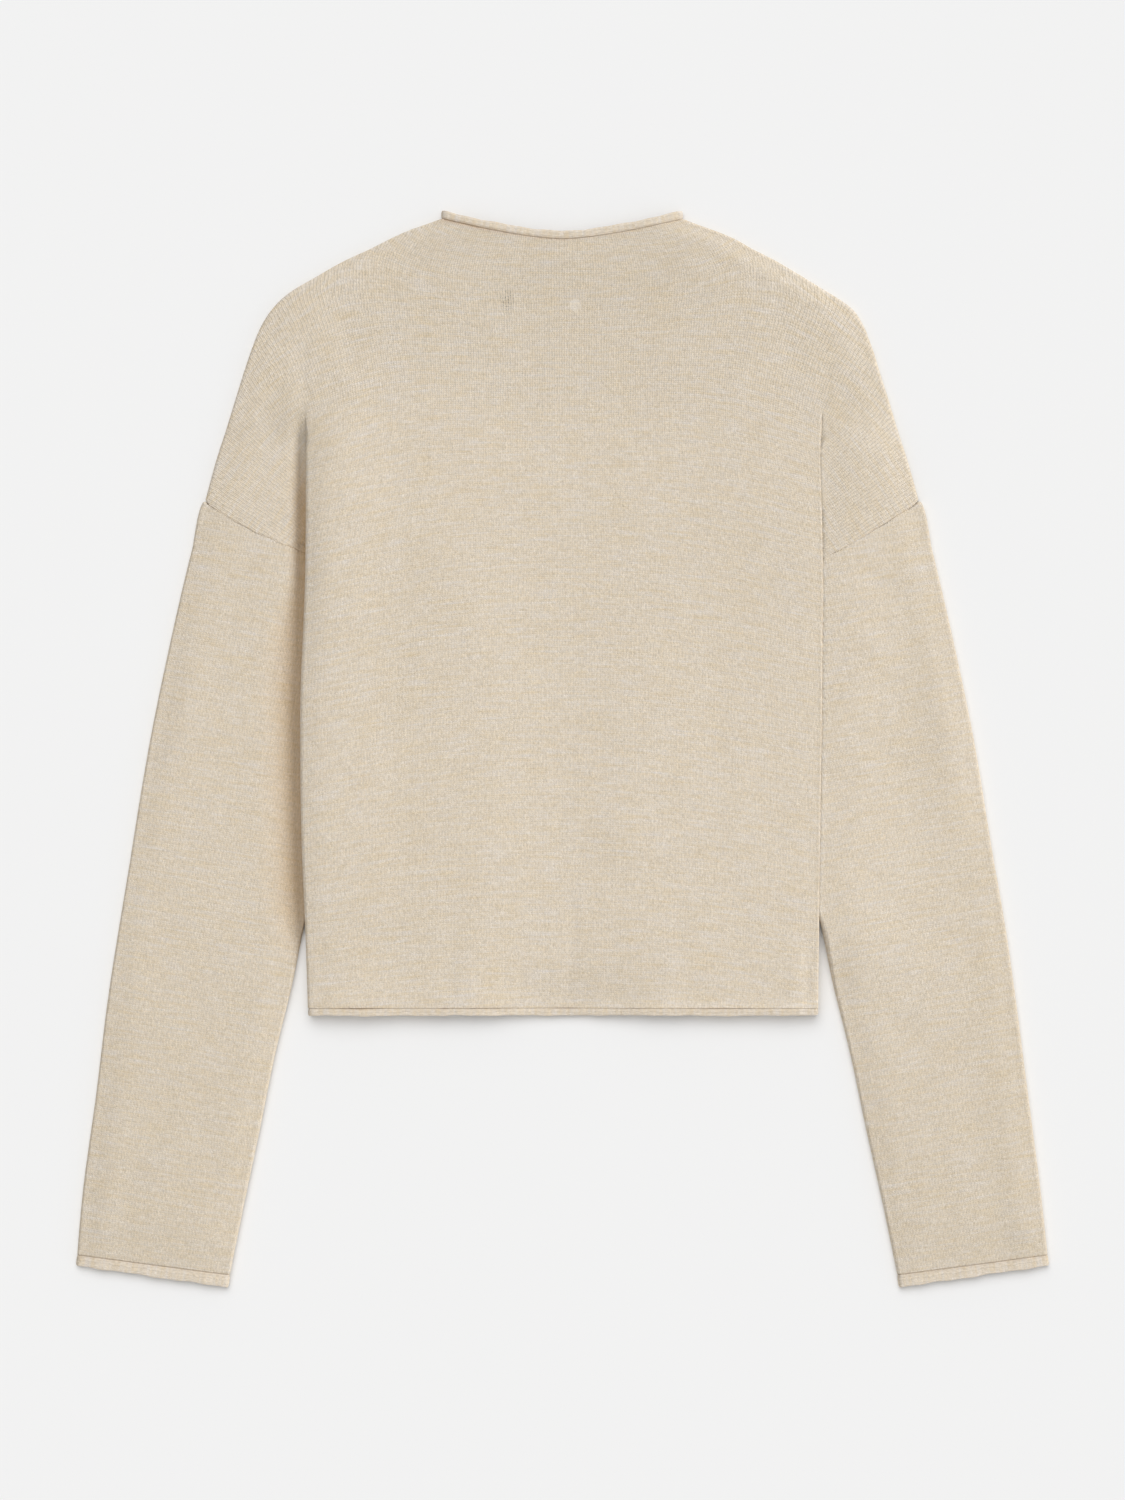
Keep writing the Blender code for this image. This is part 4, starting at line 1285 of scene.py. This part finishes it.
def build_neck():
    """The roll round the neck, open at the centre front."""

    def run(side):
        lines = []
        for face, low in (("back", 0.0), ("front", 1.37)):
            u, y, z, p = section(344.8, side, face)
            x = SIGN[side] * u
            z = relief(face, x, y - 1.5, z, p)
            z = np.maximum(z, low)
            lines.append(np.stack([x, y, z], 1))
        return lines
    back_l, front_l = run("l")
    back_r, front_r = run("r")
    line = np.concatenate([front_l, back_l[::-1], back_r[1:],
                           front_r[::-1]])
    path, _ = resample(line, [], 1.4)
    t = unit(np.gradient(path, axis=0))
    n = np.cross(t, np.tile([0.0, 1.0, 0.0], (len(path), 1)))
    n = unit(n)
    k = int(np.argmax(path[:, 2]))
    if n[k, 2] < 0:
        n = -n
    away = np.tile([0.0, 1.0, 0.0], (len(path), 1))
    # the roll leans along the neckline's own slope
    t = unit(np.gradient(path, axis=0))
    away = unit(away - (away * t).sum(1, keepdims=True) * t
                * (np.abs(n[:, 2:3]) > 0.5))
    away[:, 2] = 0.0
    away = unit(away)
    top = n[:, 2] > 0.5
    x = path[:, 0]
    shade = np.where(top, neck_shade(x), 0.3)
    near = 0.02 + 0.10 * shade
    obj = roll("neck_roll", path, n, away, near, NECK_WIDTH, 2.5,
               line=1.0, shade=shade)
    return obj


# ================================================================= materials
class Graph:
    """Short calls for building a material's nodes."""

    def __init__(self, name):
        self.material = bpy.data.materials.new(name)
        self.material.use_nodes = True
        self.tree = self.material.node_tree
        self.tree.nodes.clear()

    def node(self, kind, **inputs):
        n = self.tree.nodes.new(kind)
        return n

    def put(self, socket, value):
        if isinstance(value, bpy.types.NodeSocket):
            self.tree.links.new(value, socket)
        else:
            socket.default_value = value

    def math(self, op, a, b=None, c=None, clamp=False):
        n = self.tree.nodes.new("ShaderNodeMath")
        n.operation = op
        n.use_clamp = clamp
        for k, v in enumerate((a, b, c)):
            if v is not None:
                self.put(n.inputs[k], v)
        return n.outputs[0]

    def add(self, a, b):
        return self.math("ADD", a, b)

    def mul(self, a, b):
        return self.math("MULTIPLY", a, b)

    def xyz(self, x, y, z=0.0):
        n = self.tree.nodes.new("ShaderNodeCombineXYZ")
        for k, v in enumerate((x, y, z)):
            self.put(n.inputs[k], v)
        return n.outputs[0]

    def noise(self, vector, scale=1.0, detail=2.0, rough=0.5):
        n = self.tree.nodes.new("ShaderNodeTexNoise")
        n.inputs["Scale"].default_value = scale
        n.inputs["Detail"].default_value = detail
        n.inputs["Roughness"].default_value = rough
        self.put(n.inputs["Vector"], vector)
        return n.outputs["Fac"]

    def white(self, vector):
        n = self.tree.nodes.new("ShaderNodeTexWhiteNoise")
        n.noise_dimensions = "3D"
        self.put(n.inputs["Vector"], vector)
        return n.outputs["Value"]

    def mix(self, factor, a, b, blend="MIX"):
        n = self.tree.nodes.new("ShaderNodeMix")
        n.data_type = "RGBA"
        n.blend_type = blend
        self.put(n.inputs[0], factor)
        self.put(n.inputs[6], a)
        self.put(n.inputs[7], b)
        return n.outputs[2]

    def attribute(self, name):
        n = self.tree.nodes.new("ShaderNodeAttribute")
        n.attribute_name = name
        return n.outputs["Fac"]

    def ramp(self, value, low, high, to_low=0.0, to_high=1.0):
        n = self.tree.nodes.new("ShaderNodeMapRange")
        n.interpolation_type = "SMOOTHSTEP"
        for k, v in enumerate((value, low, high, to_low, to_high)):
            self.put(n.inputs[k], v)
        return n.outputs[0]


def knit_material(name, tan, light, depth, grain_amount, marked=False):
    g = Graph(name)
    uv = g.node("ShaderNodeUVMap")
    uv.uv_map = "knit"
    parts = g.node("ShaderNodeSeparateXYZ")
    g.put(parts.inputs[0], uv.outputs[0])
    w, c = parts.outputs[0], parts.outputs[1]
    place = g.node("ShaderNodeTexCoord").outputs["Object"]
    clear = g.attribute("clear")

    # yarn never lies quite evenly: the stitches wander a little
    drift = g.noise(g.xyz(g.mul(w, 0.30), g.mul(c, 0.22), 3.0), 1.0, 2.0, 0.6)
    drift2 = g.noise(g.xyz(g.mul(w, 0.26), g.mul(c, 0.34), 9.0), 1.0, 2.0, 0.6)
    w2 = g.add(w, g.mul(g.add(drift, -0.5), 0.9))
    c2 = g.add(c, g.mul(g.add(drift2, -0.5), 1.1))
    side = g.math("ABSOLUTE", g.add(g.math("FRACT", w2), -0.5))
    # two legs to a stitch, each a strand that leans towards the middle
    leg = g.math("DIVIDE", g.add(side, -0.25), 0.25)
    leg = g.math("SQRT", g.math("MAXIMUM", g.math(
        "SUBTRACT", 1.0, g.mul(leg, leg)), 0.0))
    step = g.add(g.math("FRACT", g.add(c2, g.mul(side, 0.95))), -0.5)
    strand = g.math("SUBTRACT", 1.0, g.mul(g.mul(step, step), 2.4))
    stitch = g.mul(leg, strand)
    valley = g.ramp(side, 0.30, 0.5)          # 1 between two wales

    fibre = g.noise(place, 1250.0, 3.0, 0.75)
    fibre2 = g.noise(place, 520.0, 2.0, 0.6)
    legs = g.math("FLOOR", g.mul(w2, 2.0))
    rows_ = g.math("FLOOR", g.add(c2, g.mul(side, 0.95)))
    cell = g.white(g.xyz(legs, rows_, 1.0))
    cell2 = g.white(g.xyz(legs, rows_, 7.0))
    cell3 = g.white(g.xyz(legs, g.math("FLOOR", g.mul(c2, 0.5)), 4.0))
    streak = g.noise(g.xyz(g.mul(w, 0.065), g.mul(c, 0.50), 0.0), 1.0, 3.0,
                     0.62)
    streak2 = g.noise(g.xyz(g.mul(w, 0.10), g.mul(c, 0.92), 5.0), 1.0, 1.0,
                      0.5)
    blotch = g.noise(place, 26.0, 2.0, 0.5)

    tone = g.add(0.5, g.mul(g.add(streak, -0.5), 0.80))
    tone = g.add(tone, g.mul(g.add(streak2, -0.5), 0.50))
    tone = g.add(tone, g.mul(g.add(blotch, -0.5), 0.2))
    tone = g.add(tone, g.mul(g.add(cell2, -0.5), 0.45))
    tone = g.math("ADD", tone, g.mul(g.add(fibre2, -0.5), 0.45), clamp=True)
    colour = g.mix(tone, (*tan, 1.0), (*light, 1.0))
    # inside the back neck a label lies against the cloth: two small marks
    px = g.node("ShaderNodeSeparateXYZ")
    g.put(px.inputs[0], place)

    def spot(x, y, wide, tall):
        dx = g.mul(g.add(px.outputs[0], -x * MM), 1 / (wide * MM))
        dy = g.mul(g.add(px.outputs[1], -y * MM), 1 / (tall * MM))
        d = g.add(g.mul(dx, dx), g.mul(dy, dy))
        return g.ramp(d, 0.3, 1.6, 1.0, 0.0)
    if marked:
        stitched, pale = spot(-36.0, 292.5, 4.2, 7.0), spot(8.6, 288.8, 3.4, 4.2)
        stitched = g.mul(stitched, g.ramp(g.noise(g.xyz(
            g.mul(w, 1.0), g.mul(c, 0.8), 2.0), 1.0, 1.0, 0.5), 0.42, 0.62))
        clear = g.mul(clear, g.add(1.0, g.mul(pale, -0.85)))
        clear = g.add(clear, g.mul(stitched, 1.6))
        tone = g.math("ADD", tone, g.mul(pale, 0.55), clamp=True)
        colour = g.mix(tone, (*tan, 1.0), (*light, 1.0))

    # single fibres run from warm tan to grey oat
    warm = g.add(g.mul(g.add(cell3, -0.5), 0.05),
                 g.mul(g.add(g.noise(place, 900.0, 1.0, 0.5), -0.5), 0.10))
    warm = g.add(warm, g.mul(g.add(streak, -0.5), -0.42))
    warm = g.add(warm, g.mul(g.add(streak2, -0.5), -0.22))
    colour = g.mix(1.0, colour, g.xyz(
        g.add(1.0, g.mul(warm, 0.20)), g.add(1.0, g.mul(warm, -0.02)),
        g.add(1.0, g.mul(warm, -0.62))), "MULTIPLY")

    shade = g.add(1.0, g.mul(g.add(fibre, -0.5), 0.36 * grain_amount))
    shade = g.add(shade, g.mul(g.add(fibre2, -0.5), 0.10 * grain_amount))
    shade = g.add(shade, g.mul(g.add(cell, -0.5), 0.13))
    shade = g.math("SUBTRACT", shade, g.mul(
        g.mul(g.add(valley, -0.2), clear), depth))
    if marked:
        shade = g.math("SUBTRACT", shade, g.mul(stitched, g.add(
            0.10, g.mul(valley, 0.24))))
    colour = g.mix(1.0, colour, g.xyz(shade, shade, shade), "MULTIPLY")
    # deep attribute: painted warm shade in the valley beside the left fold
    colour = g.mix(g.attribute("deep"), colour,
                   g.mix(1.0, colour, (0.80, 0.66, 0.50, 1.0), "MULTIPLY"))
    # tone attribute: darker cloth round the neck's middle, over the upper back
    # and on the sleeves towards the cuffs, plus painted shade on edges facing
    # the light, the right fold's ridge and a few broad patches
    colour = g.mix(g.attribute("tone"), colour,
                   g.mix(1.0, colour, (0.93, 0.925, 0.91, 1.0), "MULTIPLY"))
    # painted light on the outer side of the rolled edges
    colour = g.mix(g.attribute("painted_edge_light"), colour,
                   g.mix(1.0, colour, (1.12, 1.14, 1.18, 1.0), "MULTIPLY"))
    # pale attribute: painted light that lifts shade in the right fold's groove
    # and just above the back hem
    colour = g.mix(g.attribute("pale"), colour,
                   g.mix(1.0, colour, (1.27, 1.30, 1.35, 1.0), "MULTIPLY"))
    # seam attribute: painted shade in the groove of the armhole seams
    colour = g.mix(g.attribute("seam"), colour,
                   g.mix(1.0, colour, (0.92, 0.85, 0.77, 1.0), "MULTIPLY"))
    # neck and hem attributes: painted brown shade in the grooves under the neck
    # roll, along the hem and round the cuffs
    colour = g.mix(g.attribute("neck"), colour,
                   g.mix(1.0, colour, (0.66, 0.52, 0.40, 1.0), "MULTIPLY"))
    colour = g.mix(g.mul(g.attribute("hem"), 0.40), colour,
                   g.mix(1.0, colour, (0.72, 0.56, 0.42, 1.0), "MULTIPLY"))

    height = g.mul(stitch, g.add(0.35, g.mul(clear, 0.65)))
    height = g.add(height, g.mul(g.add(fibre, -0.5), 1.3))
    height = g.add(height, g.mul(g.add(fibre2, -0.5), 0.8))
    bump = g.node("ShaderNodeBump")
    bump.inputs["Strength"].default_value = 0.75
    bump.inputs["Distance"].default_value = 0.00034
    g.put(bump.inputs["Height"], height)

    shader = g.node("ShaderNodeBsdfPrincipled")
    g.put(shader.inputs["Base Color"], colour)
    g.put(shader.inputs["Roughness"], g.add(0.86, g.mul(fibre2, 0.12)))
    shader.inputs["Specular IOR Level"].default_value = 0.18
    shader.inputs["Sheen Weight"].default_value = 0.18
    shader.inputs["Sheen Roughness"].default_value = 0.6
    shader.inputs["Sheen Tint"].default_value = (1.0, 0.96, 0.9, 1.0)
    g.put(shader.inputs["Normal"], bump.outputs[0])
    out = g.node("ShaderNodeOutputMaterial")
    g.put(out.inputs[0], shader.outputs[0])
    return g.material


def floor_material():
    g = Graph("plain_floor")
    place = g.node("ShaderNodeTexCoord").outputs["Object"]
    tone = g.noise(place, 3.0, 2.0, 0.5)
    colour = g.mix(tone, (0.890, 0.890, 0.888, 1.0), (0.896, 0.896, 0.894, 1.0))
    shader = g.node("ShaderNodeBsdfPrincipled")
    g.put(shader.inputs["Base Color"], colour)
    shader.inputs["Roughness"].default_value = 1.0
    shader.inputs["Specular IOR Level"].default_value = 0.0
    out = g.node("ShaderNodeOutputMaterial")
    g.put(out.inputs[0], shader.outputs[0])
    return g.material


# ============================================================== put together
back = build_back()
front_left = build_front("l", "front_left_panel")
front_right = build_front("r", "front_right_panel")
sleeve_left = build_sleeve("l", "left_sleeve")
sleeve_right = build_sleeve("r", "right_sleeve")
hem_back, hem_left, hem_right = build_hems()
cuff_left = build_cuff("l", "left_cuff_roll")
cuff_right = build_cuff("r", "right_cuff_roll")
neck = build_neck()

BACK_KNIT = knit_material("oat_melange_knit_back", (0.682, 0.575, 0.432),
                          (0.810, 0.725, 0.612), 0.22, 1.0, True)
KNIT = knit_material("oat_melange_knit", (0.682, 0.575, 0.432),
                     (0.810, 0.725, 0.612), 0.20, 1.0)
EDGE = knit_material("oat_melange_rolled_edge", (0.630, 0.530, 0.400),
                     (0.750, 0.668, 0.562), 0.24, 0.9)

PIECES = (
    (back, "back", "knit", BACK_KNIT),
    (front_left, "front_left", "knit", KNIT),
    (front_right, "front_right", "knit", KNIT),
    (sleeve_left, "sleeve_left", "knit", KNIT),
    (sleeve_right, "sleeve_right", "knit", KNIT),
    (hem_back, "hem_trim_back", "rolled_edge", EDGE),
    (hem_left, "hem_trim_front_left", "rolled_edge", EDGE),
    (hem_right, "hem_trim_front_right", "rolled_edge", EDGE),
    (cuff_left, "cuff_trim_left", "rolled_edge", EDGE),
    (cuff_right, "cuff_trim_right", "rolled_edge", EDGE),
    (neck, "neck_trim", "rolled_edge", EDGE),
)
for piece, node, slot, material in PIECES:
    piece.data.materials.append(material)
    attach(piece, "root")
    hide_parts(node)

# ------------------------------------------------ floor, light and camera
bpy.ops.mesh.primitive_plane_add(size=9.0, location=(0, 0, -0.0002))
floor = bpy.context.object
floor.name = "floor"
floor.data.materials.append(floor_material())

scene = bpy.context.scene
scene.view_settings.view_transform = "Standard"
scene.view_settings.look = "None"
scene.view_settings.exposure = 0.0
scene.view_settings.gamma = 1.0

world = bpy.data.worlds.new("studio")
world.use_nodes = True
scene.world = world
sky = world.node_tree.nodes["Background"]
sky.inputs[0].default_value = (1.0, 1.0, 1.0, 1.0)
sky.inputs[1].default_value = 0.53


def sun(name, azimuth, elevation, strength, softness, colour=(1, 1, 1)):
    """azimuth from +X towards +Y, in degrees, of where the light comes from."""
    data = bpy.data.lights.new(name, "SUN")
    data.energy = strength
    data.angle = math.radians(softness)
    data.color = colour
    obj = bpy.data.objects.new(name, data)
    scene.collection.objects.link(obj)
    a, e = math.radians(azimuth), math.radians(elevation)
    obj.rotation_euler = (math.pi / 2 - e, 0.0, a + math.pi / 2)
    return obj


key = sun("key", 33, 33, 2.21, 34)
sun("top", 90, 66, 0.25, 40)
below = sun("floor_wash", 100, 58, 1.455, 56)

low_fill = sun("low_fill", -90, 24, 0.60, 50)

# the low key light is flagged off the floor, which has its own wash
lit = bpy.data.collections.new("lit_by_key")
for piece, *_ in PIECES:
    lit.objects.link(piece)
key.light_linking.receiver_collection = lit
edges_lit = bpy.data.collections.new("lit_from_below")
for piece, _, slot, _ in PIECES:
    if slot == "rolled_edge":
        edges_lit.objects.link(piece)
low_fill.light_linking.receiver_collection = edges_lit
ground = bpy.data.collections.new("lit_by_wash")
ground.objects.link(floor)
below.light_linking.receiver_collection = ground

camera_data = bpy.data.cameras.new("camera")
camera_data.sensor_width = 36.0
camera_data.lens = 110.77
camera_data.clip_end = 50.0
camera = bpy.data.objects.new("camera", camera_data)
camera.location = (0.0, -0.00033, 3.006)
camera.rotation_euler = (0.0, 0.0, 0.0)
scene.collection.objects.link(camera)
scene.camera = camera
